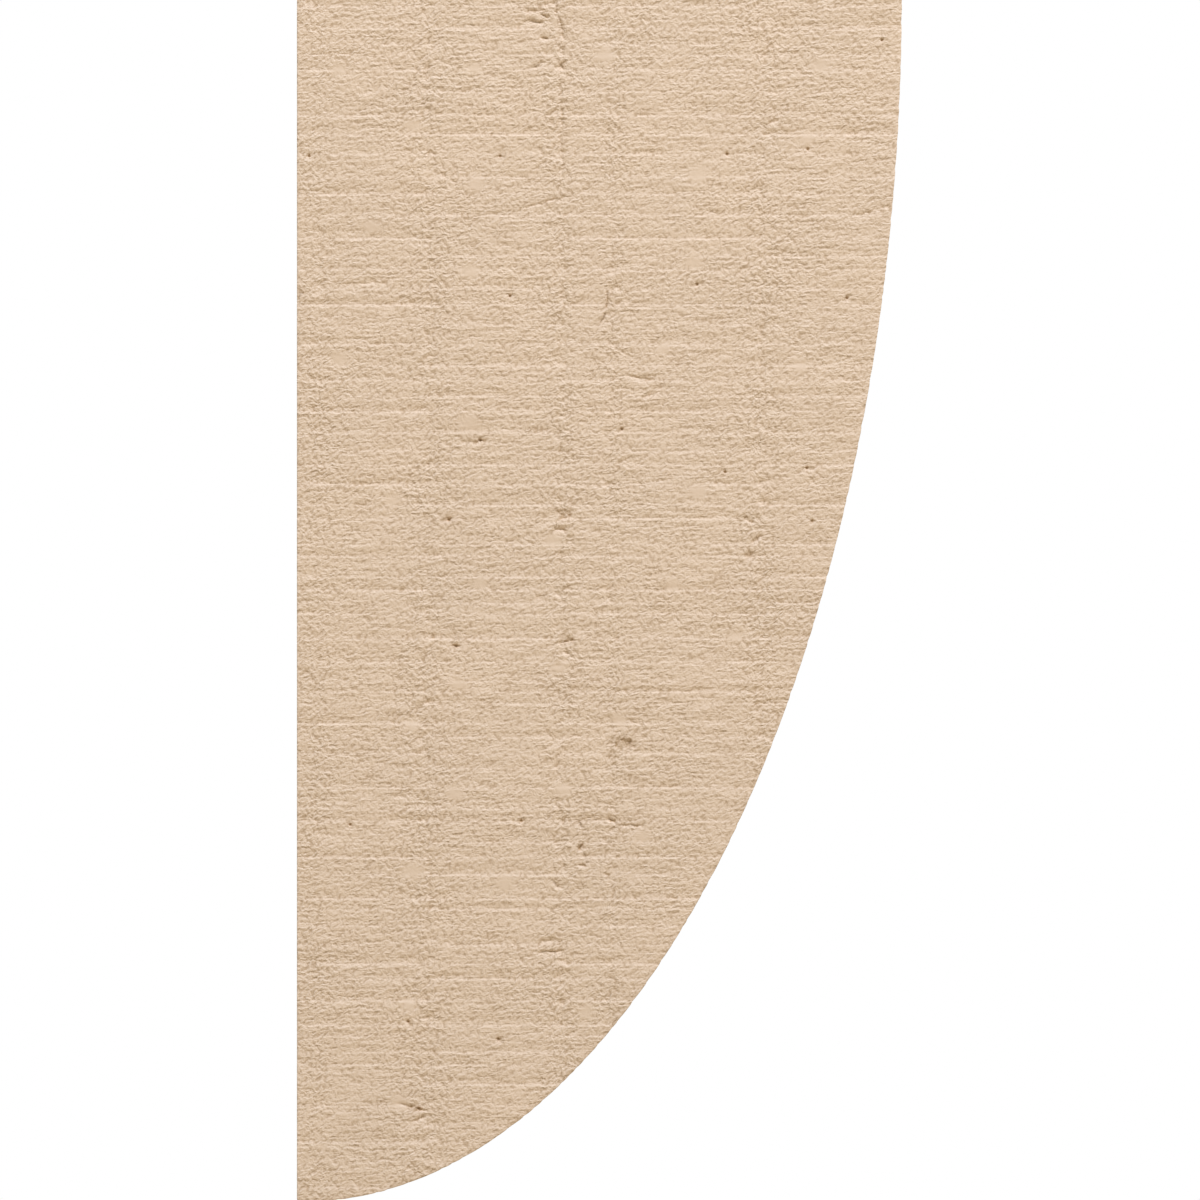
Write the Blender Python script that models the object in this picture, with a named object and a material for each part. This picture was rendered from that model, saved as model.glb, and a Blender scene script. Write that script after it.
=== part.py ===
"""Corbel block with a quarter-ellipse front and rough sawn faces, cast in one piece.

+X points out from the wall, +Y runs across the corbel and +Z is up.
The origin is the middle of the flat back face, which lies against the wall.
"""

import math
import random

import bmesh
import bpy
import numpy as np

# Driving dimensions, in metres
PROJECTION = 0.3048  # from the wall to the nose, along the top face
HEIGHT = 0.6096  # down the back face
WIDTH = 0.1524  # across the curved front
TOE = 0.0030  # level flat under the foot of the curve
ARRIS = 0.0008  # broken edge between each side and the curve

# Saw marks: at each one the face steps out over a narrow ledge, then slopes back in to the next
MARK_PITCH = 0.00915  # usual distance from one mark to the next
MARK_SCATTER = 0.45  # how far a pitch strays, as a share of it
FIRST_MARK = 0.4  # how near the end of the board the first mark may be, as a share of the pitch
SIDE_DEPTH = 0.0008  # the deepest ledge on a side
FRONT_DEPTH = 0.0004  # the deepest ledge on the curve, which keeps its outline clean
MARK_FADE = 0.25  # the shallowest ledge, as a share of the deepest
LEDGE_HEIGHT = 0.0016  # height of the step at a mark

# Torn seams: upright bands where the grain broke out, each crossing a whole side
SEAMS = (0.0660, 0.1330, 0.1580, 0.2340)  # distance of each seam from the wall
SEAM_WIDTH = 0.0080  # across the torn band
SEAM_DEPTH = 0.0009  # the deepest tear
TEAR_POWER = 2  # above 1, so that most of a seam is torn only lightly

# The stretches between seams fall into two sets, and the marks show best in each set by turns
SAWN_STRETCHES = ((0, 2, 3), (1, 4))

CURVE_STEP = 0.0090  # longest straight run along the curve
ARC_SAMPLES = 800  # steps in which the curve's length is added up
OVERRUN = 0.0100  # how far the sawn blank reaches past the cut outline
SIDE_SEEDS = {"near": 189220, "far": 23}  # the two sides were sawn apart, so their marks differ
FRONT_SEED = 37

TOP = HEIGHT / 2

TAN_PRIMER = (0.690, 0.527, 0.381, 1.0)
TAN_ROUGHNESS = 0.80


def saw_marks(run, seed, deepest):
    """Mark positions down a run of face, each with its ledge depth."""
    chance = random.Random(seed)
    marks = []
    at = MARK_PITCH * chance.uniform(FIRST_MARK, 1.0)
    while at < run - LEDGE_HEIGHT:
        marks.append((at, deepest * chance.uniform(MARK_FADE, 1.0)))
        at += MARK_PITCH * chance.uniform(1 - MARK_SCATTER, 1 + MARK_SCATTER)
    return marks


def ledge_knots(marks):
    """Distances down the face, and depths under its full width, where the slope changes."""
    knots = []
    for at, depth in marks:
        knots.append((at - LEDGE_HEIGHT / 2, depth))
        knots.append((at + LEDGE_HEIGHT / 2, 0.0))
    return knots


def stretch_strengths(marks, seed):
    """How strongly each mark shows in each stretch between seams, from 0 to 1."""
    chance = random.Random(f"strengths {seed}")
    strengths = []
    for index, _ in enumerate(marks):
        sawn = SAWN_STRETCHES[index % len(SAWN_STRETCHES)]
        row = []
        for stretch in range(len(SEAMS) + 1):
            strongest = 1.0 if stretch in sawn else MARK_FADE
            row.append(strongest * chance.uniform(MARK_FADE, 1.0))
        strengths.append(row)
    return strengths


def column_places():
    """Upright lines of points over a side: (distance from the wall, stretch, is it torn)."""
    columns = [(-OVERRUN, 0, False)]
    for stretch, seam in enumerate(SEAMS):
        columns.append((seam - SEAM_WIDTH / 2, stretch, False))
        columns.append((seam, stretch, True))
        columns.append((seam + SEAM_WIDTH / 2, stretch + 1, False))
    columns.append((PROJECTION + OVERRUN, len(SEAMS), False))
    return columns


def side_points(bm, side, seed):
    """Rows of points over one sawn side of the blank, from above its top to below its foot."""
    run = HEIGHT + 2 * OVERRUN
    marks = saw_marks(run, seed, SIDE_DEPTH)
    strengths = stretch_strengths(marks, seed)
    chance = random.Random(f"tears {seed}")
    columns = column_places()
    rows = []
    ends = [(0.0, 0.0)] + ledge_knots(marks) + [(run, 0.0)]
    for index, (down, ledge) in enumerate(ends):
        mark = min(max(index - 1, 0) // 2, len(marks) - 1)
        row = []
        for x, stretch, torn in columns:
            depth = ledge * strengths[mark][stretch]
            if torn:
                depth += SEAM_DEPTH * chance.random() ** TEAR_POWER
            y = side * (WIDTH / 2 - depth)
            row.append(bm.verts.new((x, y, TOP + OVERRUN - down)))
        rows.append(row)
    return rows


def bridge_rows(bm, rows):
    """Quads between each row of points and the next."""
    for upper, lower in zip(rows, rows[1:]):
        for a, b, c, d in zip(upper, upper[1:], lower[1:], lower):
            bm.faces.new((a, b, c, d))


def close_rim(bm, near, far):
    """The blank's four narrow faces, which join the rims of its two sides."""
    for end in (0, -1):
        bm.faces.new(near[end] + far[end][::-1])
        bm.faces.new([row[end] for row in near] + [row[end] for row in far][::-1])


def tidy(bm):
    """Faces turned outward and cut into triangles."""
    bmesh.ops.recalc_face_normals(bm, faces=bm.faces)
    bmesh.ops.triangulate(bm, faces=bm.faces)


def sawn_blank():
    """The board before its outline is cut, with a sawn face on both sides."""
    bm = bmesh.new()
    near = side_points(bm, -1, SIDE_SEEDS["near"])
    far = side_points(bm, 1, SIDE_SEEDS["far"])
    bridge_rows(bm, near)
    bridge_rows(bm, far)
    close_rim(bm, near, far)
    tidy(bm)
    mesh = bpy.data.meshes.new("corbel")
    bm.to_mesh(mesh)
    bm.free()
    return mesh


def curve_angles():
    """Angles round the quarter ellipse, with the depth under it, from the nose to the foot."""
    across = PROJECTION - TOE
    angles = np.linspace(0.0, math.pi / 2, ARC_SAMPLES)
    steps = np.hypot(np.diff(across * np.cos(angles)), np.diff(HEIGHT * np.sin(angles)))
    lengths = np.concatenate(([0.0], np.cumsum(steps)))
    run = lengths[-1]
    marks = saw_marks(run, FRONT_SEED, FRONT_DEPTH)
    knots = [(0.0, 0.0)] + ledge_knots(marks) + [(run, 0.0)]
    places = []
    for (start, _), (end, _) in zip(knots, knots[1:]):
        pieces = math.ceil((end - start) / CURVE_STEP)
        places.extend(np.linspace(start, end, pieces, endpoint=False))
    places.append(run)
    depths = np.interp(places, [at for at, _ in knots], [depth for _, depth in knots])
    return list(zip(np.interp(places, lengths, angles), depths))


def outline(inset):
    """The side outline, with its curve drawn in by an inset: foot, wall, top and nose."""
    across = PROJECTION - TOE - inset
    drop = HEIGHT - inset
    points = [(0.0, TOP - drop), (0.0, TOP)]
    for angle, depth in curve_angles():
        normal = np.array((math.cos(angle) / across, -math.sin(angle) / drop))
        normal *= depth / np.linalg.norm(normal)
        x = TOE + across * math.cos(angle) - normal[0]
        z = TOP - drop * math.sin(angle) - normal[1]
        points.append((x, z))
    return points


def outline_cutter():
    """The prism that keeps the corbel's outline from the blank, with its arrises broken at 45 degrees."""
    bm = bmesh.new()
    rings = []
    for y, inset in (
        (-WIDTH / 2 - OVERRUN, ARRIS + OVERRUN),
        (-WIDTH / 2 + ARRIS, 0.0),
        (WIDTH / 2 - ARRIS, 0.0),
        (WIDTH / 2 + OVERRUN, ARRIS + OVERRUN),
    ):
        rings.append([bm.verts.new((x, y, z)) for x, z in outline(inset)])
    for ring, following in zip(rings, rings[1:]):
        turned = zip(ring, ring[1:] + ring[:1], following[1:] + following[:1], following)
        for corners in turned:
            bm.faces.new(corners)
    bm.faces.new(rings[0])
    bm.faces.new(rings[-1])
    tidy(bm)
    mesh = bpy.data.meshes.new("outline_cutter")
    bm.to_mesh(mesh)
    bm.free()
    return mesh


def tan_primer():
    """The matt tan priming coat over the whole casting."""
    material = bpy.data.materials.new("tan_primer")
    material.use_nodes = True
    shader = material.node_tree.nodes["Principled BSDF"]
    shader.inputs["Base Color"].default_value = TAN_PRIMER
    shader.inputs["Roughness"].default_value = TAN_ROUGHNESS
    shader.inputs["Metallic"].default_value = 0.0
    material.diffuse_color = TAN_PRIMER
    return material


def add_object(name, mesh):
    """An object for a mesh, linked to the scene."""
    made = bpy.data.objects.new(name, mesh)
    bpy.context.scene.collection.objects.link(made)
    return made


def build():
    """The corbel: the sawn blank, cut to its outline."""
    for old in list(bpy.data.objects):
        bpy.data.objects.remove(old)
    cutter = add_object("outline_cutter", outline_cutter())
    cutter.hide_render = True
    cutter.display_type = "WIRE"
    corbel = add_object("corbel", sawn_blank())
    corbel.data.materials.append(tan_primer())
    cut = corbel.modifiers.new("cut to outline", "BOOLEAN")
    cut.operation = "INTERSECT"
    cut.solver = "EXACT"
    cut.object = cutter
    return corbel


build()
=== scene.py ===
"""Rough sawn corbel, finished: the casting's fine surface and tan primer, a floor, lights and a camera.

Laid out as a Blender add-on. Lengths are in metres: +X points out from the wall, +Y runs across the
corbel and +Z is up. "Down" is a distance under the top face, and "run" is a distance along the curve.
"""

import math
import random

import bpy
import numpy as np
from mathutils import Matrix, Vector
from mathutils.geometry import delaunay_2d_cdt
from mathutils.kdtree import KDTree


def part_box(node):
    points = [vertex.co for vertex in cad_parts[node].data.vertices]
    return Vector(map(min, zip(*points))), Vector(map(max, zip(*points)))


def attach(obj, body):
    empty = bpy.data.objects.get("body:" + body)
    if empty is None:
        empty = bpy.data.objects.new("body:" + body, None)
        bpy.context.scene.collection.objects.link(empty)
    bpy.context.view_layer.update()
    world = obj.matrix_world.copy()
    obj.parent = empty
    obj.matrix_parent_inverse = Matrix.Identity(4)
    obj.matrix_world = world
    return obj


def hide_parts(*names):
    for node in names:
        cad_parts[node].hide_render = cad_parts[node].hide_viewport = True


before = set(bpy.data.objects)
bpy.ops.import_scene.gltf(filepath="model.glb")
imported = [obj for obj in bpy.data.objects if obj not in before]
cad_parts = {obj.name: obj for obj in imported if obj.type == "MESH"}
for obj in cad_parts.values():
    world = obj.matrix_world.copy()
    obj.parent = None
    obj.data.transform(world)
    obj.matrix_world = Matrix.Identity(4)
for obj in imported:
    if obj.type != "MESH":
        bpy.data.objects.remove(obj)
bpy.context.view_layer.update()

bl_info = {
    "name": "Rough Sawn Corbel",
    "version": (1, 0, 0),
    "blender": (4, 5, 0),
    "location": "View3D > Sidebar > Corbel",
    "description": "Builds a moulded corbel with rough sawn faces, its primer and a small studio",
    "category": "Object",
}

NODE = "corbel"
BODY = "root"
MM = 0.001

# The block, read from the frame
LOW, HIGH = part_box(NODE)
PROJECTION = float(HIGH[0])
TOP = float(HIGH[2])
HEIGHT = float(HIGH[2] - LOW[2])
WIDTH = float(HIGH[1] - LOW[1])
TOE = 3.0 * MM  # level flat under the foot of the curve
ACROSS = PROJECTION - TOE  # half width of the ellipse that the curve follows

# The solid's saw marks and torn seams, which the fine surface keeps
MARK_PITCH = 9.15 * MM
MARK_SCATTER = 0.45
FIRST_MARK = 0.4
SIDE_DEPTH = 0.8 * MM
FRONT_DEPTH = 0.4 * MM
MARK_FADE = 0.25
LEDGE_HEIGHT = 1.6 * MM
CRISP_HEIGHT = 1.1 * MM  # height that a ledge has here
USUAL_LEDGE = 0.44 * MM  # depth that the ledges are drawn towards, so that fewer are faint
RAGGED_WIDTH = 2.5 * MM  # distance over which one stretch gives way to the next
LINE_REACH = 1.6 * MM  # how far above and below a ledge its edge has an effect
LEDGE_HOOK = 2.2  # above 1, so that the face dips just above each ledge
SEAMS = (66.0 * MM, 133.0 * MM, 158.0 * MM, 234.0 * MM)
SEAM_WIDTH = 8.0 * MM
SEAM_DEPTH = 0.9 * MM
LEAST_TEAR = 0.12 * MM  # so that a seam shows all the way down here
SEAM_CROWD = 0.8  # how much denser the points are at a seam
TEAR_POWER = 2
SAWN_STRETCHES = ((0, 2, 3), (1, 4))
OVERRUN = 10.0 * MM
SIDE_SEEDS = {"near": 189220, "far": 23}
FRONT_SEED = 37
ARC_SAMPLES = 800

# Rounding of the edges, and how finely each is cut
ARRIS_STEPS = 2
CORNER_STEPS = 3
RIM_STEP = 2.5 * MM
BACK_COLUMNS = 12
FLAT_STEP = 12.0 * MM
ROW_SLACK = 0.01  # a step may be longer than the longest by this share
ROW_SHIFTS = (0.25, 0.75)  # where a row's first point lies by turns, in steps from the wall
POINTS_MEET = 1e-9  # points closer than this are one point
REGION_APART = 1.0  # distance in the materials' noise from one region of the surface to the next

# Smooth noise repeats after this many features, and its gain brings its peaks to about 1
NOISE_TILE = 256
NOISE_GAIN = 1.5

# Unevenness of the sawn sides: (size, length, height, lean, draw). A feature has this length along
# the face and this height down it, rises towards the nose where it leans, and has its own draw.
MARK_UNEVEN = (0.6, 18 * MM, 7 * MM, 0.0, 1)
CHIPS = (1.0, 4.0 * MM, 2.6 * MM, 0.35, 3)
SWELLS = ((1.0, 42 * MM, 19 * MM, 0.0, 4), (0.6, 21 * MM, 10 * MM, 0.0, 5))
LUMPS = ((0.8, 8 * MM, 5.2 * MM, 0.35, 6), (0.8, 5 * MM, 3.4 * MM, 0.35, 7))
COMBING = (0.5, 60 * MM, 40 * MM, 0.0, 12)
FLAKE_FLOOR = (0.5, 2.6 * MM, 1.6 * MM, 0.6, 13)
FLAKE_EDGE = (0.35, 2.4 * MM, 1.7 * MM, 0.5, 72)  # how ragged a flake's edge is

# Unevenness that changes only down a side, or along a line: (size, length, draw)
SEAM_WANDER = ((2.0 * MM, 25 * MM, 2), (1.5 * MM, 7 * MM, 11))
STRETCH_EDGE = (1.8 * MM, 11 * MM, 8)  # where a saw mark gives way to the next stretch's
STRETCH_LEVEL = (0.16 * MM, 32 * MM, 10)  # how far one stretch stands above or below the next
ROUGH_WANDER = (5 * MM, 70 * MM, 71)
CREASE_WANDER = (0.8 * MM, 3 * MM, 0)

# The ends of the saw marks in a stretch are ragged as well: (size, height, length, draw)
MARK_ENDS = (1.0 * MM, 4 * MM, 9 * MM, 9)

# Unevenness of the sawn curve, as on the sides, and how deep its relief is
FRONT_MARK_UNEVEN = (0.6, 32 * MM, 7 * MM, 0.0, 1)
FRONT_LUMPS = ((1.0, 10 * MM, 5.2 * MM, 0.0, 2), (0.7, 6 * MM, 3.4 * MM, 0.0, 3))
FRONT_SWELL = (1.0, 45 * MM, 22 * MM, 0.0, 4)
FRONT_ROUGH = (0.5, 30 * MM, 60 * MM, 0.0, 5)
FRONT_SKIN = 0.05 * MM
FRONT_LUMP_DEPTH = 0.05 * MM
FRONT_SWELL_DEPTH = 0.05 * MM
FRONT_FADE = (6 * MM, 8 * MM)  # the curve's relief fades out towards the nose, and towards the toe

# How the kinds of relief act on each other, as (usual amount, what is added where it is rough)
LUMP_SHARE = (0.75, 0.4)
GRAIN_SHARE = (0.94, 0.18)
FRONT_GRAIN_SHARE = (0.85, 0.35)
USUAL_COMBING = 0.75  # how much the saw combed the grain level, where it isn't rough
USUAL_FLAKE = 0.65  # depth of a flake's floor before its unevenness
USUAL_CHIP = (0.3, 1.1)  # depth of a tear between the chips, and what is added in a chip
CHIP_EDGE = (-0.1, 0.6)  # values of the chips' noise from which a chip starts and is full
CHIPPED_DEPTH = (0.5 * MM, 1.2 * MM)  # depths of a tear from which it looks chipped, and fully so
SPOT_GRAIN_LOSS = 0.9
PINHOLE_GRAIN_LOSS = 0.8

# How much painted shade each kind of relief gets: a darker, warmer colour that stands in for the shade
# falling into it
CREASE_SHADE = 0.85
FLAKE_SHADE = 0.5
CHIP_SHADE = 0.3
PIT_SHADE = 0.8
BUBBLE_SHADE = 0.6
LINE_SHADE = 0.2  # in the groove over a ledge

# The grain, as the materials draw it. Scales are features to a metre.
PUSH_SCALE = 160.0
PUSH_REACH = 2.1 * MM  # how far the crumbs are pushed about, so that none is round
CRUMB_WIDTH = 1.35  # length of a crumb, as a share of its height
CRUMB_TURN = 36  # degrees by which the crumbs rise to the right
STREAK_TURN = 2  # and the streaks
COMBED_CRUMB = (-0.2, 1.14)  # what combing adds to the crumbs, and their height without it
COMBED_STREAK = (0.7, 0.5)  # and the same of the streaks
PATCH_SCALE = 30.0
PATCH_RANGE = (0.3, 0.7)  # values of the patches' noise
PATCH_GRAIN = (0.87, 1.13)  # height of the grain there, as a share of the usual
PAINTED_SHADE_RANGE = (0.02, -0.32)  # values of the grain from which painted shade starts in its low places, and is full
LINE_PLACES = (-1.2 * MM, -0.4 * MM, 0.8 * MM)  # groove's start, ledge's start and end, down from a mark
BUBBLE_LEAST = 0.3  # the smallest bubble, as a share of the largest
BUBBLE_FLOOR = 0.4  # flat floor of a bubble, as a share of its radius
BUBBLE_DEPTH = 0.7  # as a share of the radius
CLOUD_SCALE = 22.0  # of the slow changes of tone
CLOUD_DETAIL = 2.0
USUAL_ROUGHNESS = 0.68
ROUGHNESS_UNEVEN = 0.2
PAINTED_SHADE_ROUGHNESS = 0.15  # added where shade is painted
GROOVE_SHARE = 0.5  # depth of the groove over a ledge's edge, as a share of the edge's height
PAINTED_HIGHLIGHT_TILT = 0.45  # how far from upright the grain faces where the painted highlight is full, or nothing

# The photograph's frame, in its pixels
PHOTO_SIDE = 1200
PHOTO_PROJECTION = 605.4  # from the wall to the nose
PHOTO_WALL = 296.8
PHOTO_TOP = -8.5  # the top face lies above the frame

# The studio: each light's place and colour, the floor and the light from all round
SENSOR_WIDTH = 36.0
LIGHT_SIZE = 2.0  # each light is a square
LIGHTS = {
    "key": ((1.4, -4.0, 6.4), (0.955, 0.99, 1.085)),
    "back": ((-2.6, 3.1, 3.5), (1.0, 1.0, 1.0)),
    "front": ((3.8, 0.9, 2.4), (1.0, 1.0, 1.0)),
}
AMBIENT_RANGE = (1.6, 0.3)  # strength of the light from straight below, and from straight above
WHITE = (1.0, 1.0, 1.0, 1.0)
BLACK = (0.0, 0.0, 0.0, 1.0)
FLOOR_RADIUS = 1.7
FLOOR_STEPS = 96
FLOOR_RIM = (0.45, 0.97)  # shares of the radius between which the floor turns to white
FLOOR_COLOUR = (0.80, 0.80, 0.79, 1.0)
FLOOR_GLOW = (0.22, 0.22, 0.22, 1.0)


class CastingSettings(bpy.types.PropertyGroup):
    """Sizes of the casting's surface."""

    row_step: bpy.props.FloatProperty(
        name="Row step",
        description="Longest distance down the near side from one row of points to the next",
        default=1.3 * MM,
        unit="LENGTH",
    )
    column_step: bpy.props.FloatProperty(
        name="Column step",
        description="Distance along a row of the near side between points, which stand closer at the seams",
        default=3.0 * MM,
        unit="LENGTH",
    )
    far_share: bpy.props.FloatProperty(
        name="Far side coarseness",
        description="How many times coarser the far side is than the near side",
        default=1.95,
    )
    front_step: bpy.props.FloatProperty(
        name="Front row step",
        description="Longest distance along the curve from one row of points to the next",
        default=1.5 * MM,
        unit="LENGTH",
    )
    front_columns: bpy.props.IntProperty(
        name="Front columns",
        description="Strips across the curved front",
        default=38,
    )
    arris: bpy.props.FloatProperty(
        name="Arris",
        description="Radius of the edges between the sides and the other faces",
        default=0.5 * MM,
        unit="LENGTH",
    )
    corner: bpy.props.FloatProperty(
        name="Corner",
        description="Radius at the nose, at the toe and along the top of the back",
        default=1.6 * MM,
        unit="LENGTH",
    )
    skin: bpy.props.FloatProperty(
        name="Skin",
        description="How far the mean surface lies under the highest points",
        default=0.25 * MM,
        unit="LENGTH",
    )
    swell_depth: bpy.props.FloatProperty(
        name="Swell",
        description="Height of the broad unevenness of the sawn faces",
        default=0.11 * MM,
        unit="LENGTH",
    )
    lump_depth: bpy.props.FloatProperty(
        name="Lumps",
        description="Height of the lumps that the saw tore up between its marks",
        default=0.34 * MM,
        unit="LENGTH",
    )


class PrimerSettings(bpy.types.PropertyGroup):
    """Colours and grain of the primer coat, with the colours of its painted shade and painted highlight."""

    coat: bpy.props.FloatVectorProperty(
        name="Coat",
        description="Colour of the tan primer on grain that faces down",
        subtype="COLOR",
        default=(0.750, 0.575, 0.395),
        min=0.0,
        max=1.0,
    )
    # Painted highlight: a paler, less saturated coat on grain that faces up, standing in for the light from
    # above
    painted_highlight_coat: bpy.props.FloatVectorProperty(
        name="Painted highlight coat",
        description="Colour of the primer on grain that faces up, painted paler as a highlight of the light from above",
        subtype="COLOR",
        default=(0.780, 0.631, 0.489),
        min=0.0,
        max=1.0,
    )
    # Painted shade: a darker, warmer colour in creases and pits that stands in for the shade falling there
    painted_shade: bpy.props.FloatVectorProperty(
        name="Painted shade colour",
        description="Colour painted in creases and pits as their shade",
        subtype="COLOR",
        default=(0.440, 0.290, 0.155),
        min=0.0,
        max=1.0,
    )
    grain_size: bpy.props.FloatProperty(
        name="Grain size",
        description="Usual distance from one crumb of the surface to the next",
        default=1.65 * MM,
        unit="LENGTH",
    )
    grain_height: bpy.props.FloatProperty(
        name="Grain height",
        description="Height of the crumbs",
        default=0.64 * MM,
        unit="LENGTH",
    )
    ledge_edge: bpy.props.FloatProperty(
        name="Ledge edge",
        description="Height of the crisp edge along each saw mark",
        default=0.12 * MM,
        unit="LENGTH",
    )
    streak_length: bpy.props.FloatProperty(
        name="Streak length",
        description="Usual length of the level streaks that the saw left",
        default=15.0 * MM,
        unit="LENGTH",
    )


class StudioSettings(bpy.types.PropertyGroup):
    """Light and camera."""

    key_power: bpy.props.FloatProperty(
        name="Key power",
        description="Power of the large light above the camera",
        default=614.0,
        unit="POWER",
    )
    back_power: bpy.props.FloatProperty(
        name="Back power",
        description="Power of the light behind, which the near side doesn't see",
        default=165.0,
        unit="POWER",
    )
    front_power: bpy.props.FloatProperty(
        name="Front power",
        description="Power of the light before the curve, which the near side doesn't see",
        default=45.0,
        unit="POWER",
    )
    ambient: bpy.props.FloatVectorProperty(
        name="Ambient",
        description="Light from all round",
        subtype="COLOR",
        default=(0.455, 0.40, 0.325),
        min=0.0,
        max=1.0,
    )
    lens: bpy.props.FloatProperty(
        name="Lens",
        description="Focal length of the camera",
        default=100.0,
        unit="CAMERA",
    )
    floor_drop: bpy.props.FloatProperty(
        name="Floor drop",
        description="Distance from the foot of the corbel down to the floor",
        default=0.35,
        unit="LENGTH",
    )


def eased(share):
    """An S-curve from 0 to 1 with straight, level ends."""
    return share**3 * (share * (share * 6 - 15) + 10)


def wave(u, v, seed):
    """Smooth noise over a plane, from about -1 to 1, with a feature about every unit."""
    turns = np.random.default_rng(seed).uniform(0, 2 * math.pi, (NOISE_TILE, NOISE_TILE))
    column = np.floor(u).astype(int)
    row = np.floor(v).astype(int)
    a = u - column
    b = v - row
    ease_a = eased(a)
    ease_b = eased(b)
    total = np.zeros_like(a)
    for i in (0, 1):
        for j in (0, 1):
            angle = turns[(column + i) % NOISE_TILE, (row + j) % NOISE_TILE]
            weight = (ease_a if i else 1 - ease_a) * (ease_b if j else 1 - ease_b)
            total += weight * (np.cos(angle) * (a - i) + np.sin(angle) * (b - j))
    return NOISE_GAIN * total


def uneven(kind, along, down, seed=0):
    """Unevenness of one kind, given as (size, length, height, lean, draw), at each point."""
    size, length, height, lean, draw = kind
    return size * wave(along / length, (down + lean * along) / height, seed + draw)


def uneven_line(kind, place, seed=0, line=0):
    """Unevenness along a line, given as (size, length, draw). Each line number has its own."""
    size, length, draw = kind
    return size * wave(place / length, np.full_like(place, line + 0.5), seed + draw)


def smooth_step(value, start, end):
    """0 before start, 1 after end and an S-curve between them."""
    share = np.clip((value - start) / (end - start), 0.0, 1.0)
    return share * share * (3 - 2 * share)


def saw_marks(run, seed, deepest):
    """Mark positions down a run of face, each with its ledge depth."""
    chance = random.Random(seed)
    marks = []
    at = MARK_PITCH * chance.uniform(FIRST_MARK, 1.0)
    while at < run - LEDGE_HEIGHT:
        marks.append((at, deepest * chance.uniform(MARK_FADE, 1.0)))
        at += MARK_PITCH * chance.uniform(1 - MARK_SCATTER, 1 + MARK_SCATTER)
    return marks


def ledge_knots(marks, run):
    """Where the slope changes down a face, and the depth there."""
    knots = [(0.0, 0.0)]
    for at, depth in marks:
        knots.append((at - CRISP_HEIGHT / 2, depth))
        knots.append((at + CRISP_HEIGHT / 2, 0.0))
    knots.append((run, 0.0))
    return np.array(knots)


def ledge_depth(places, knots, depths):
    """Depth down a face: each slope between two marks steepens towards the lower one."""
    before = np.clip(np.searchsorted(knots, places, side="right") - 1, 0, len(knots) - 2)
    share = (places - knots[before]) / (knots[before + 1] - knots[before])
    first = depths[before]
    last = depths[before + 1]
    slope = last > first
    share = np.where(slope, share**LEDGE_HOOK, share)
    return first + (last - first) * share


def near_mark(gap):
    """1 within a ledge, and 0 from the next row of points on."""
    return 1 - smooth_step(np.abs(gap), CRISP_HEIGHT / 2, LINE_REACH)


def stretch_strengths(count, seed):
    """How strongly each of count marks shows in each stretch between seams, from 0 to 1."""
    chance = random.Random(f"strengths {seed}")
    strengths = []
    for index in range(count):
        sawn = SAWN_STRETCHES[index % len(SAWN_STRETCHES)]
        row = []
        for stretch in range(len(SEAMS) + 1):
            strongest = 1.0 if stretch in sawn else MARK_FADE
            row.append(strongest * chance.uniform(MARK_FADE, 1.0))
        strengths.append(row)
    return np.array(strengths)


def tear_depths(count, seed):
    """Depth of the tear in each seam, at each of count knots down the face."""
    chance = random.Random(f"tears {seed}")
    rows = [[chance.random() for _ in SEAMS] for _ in range(count)]
    return SEAM_DEPTH * np.array(rows) ** TEAR_POWER


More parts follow.
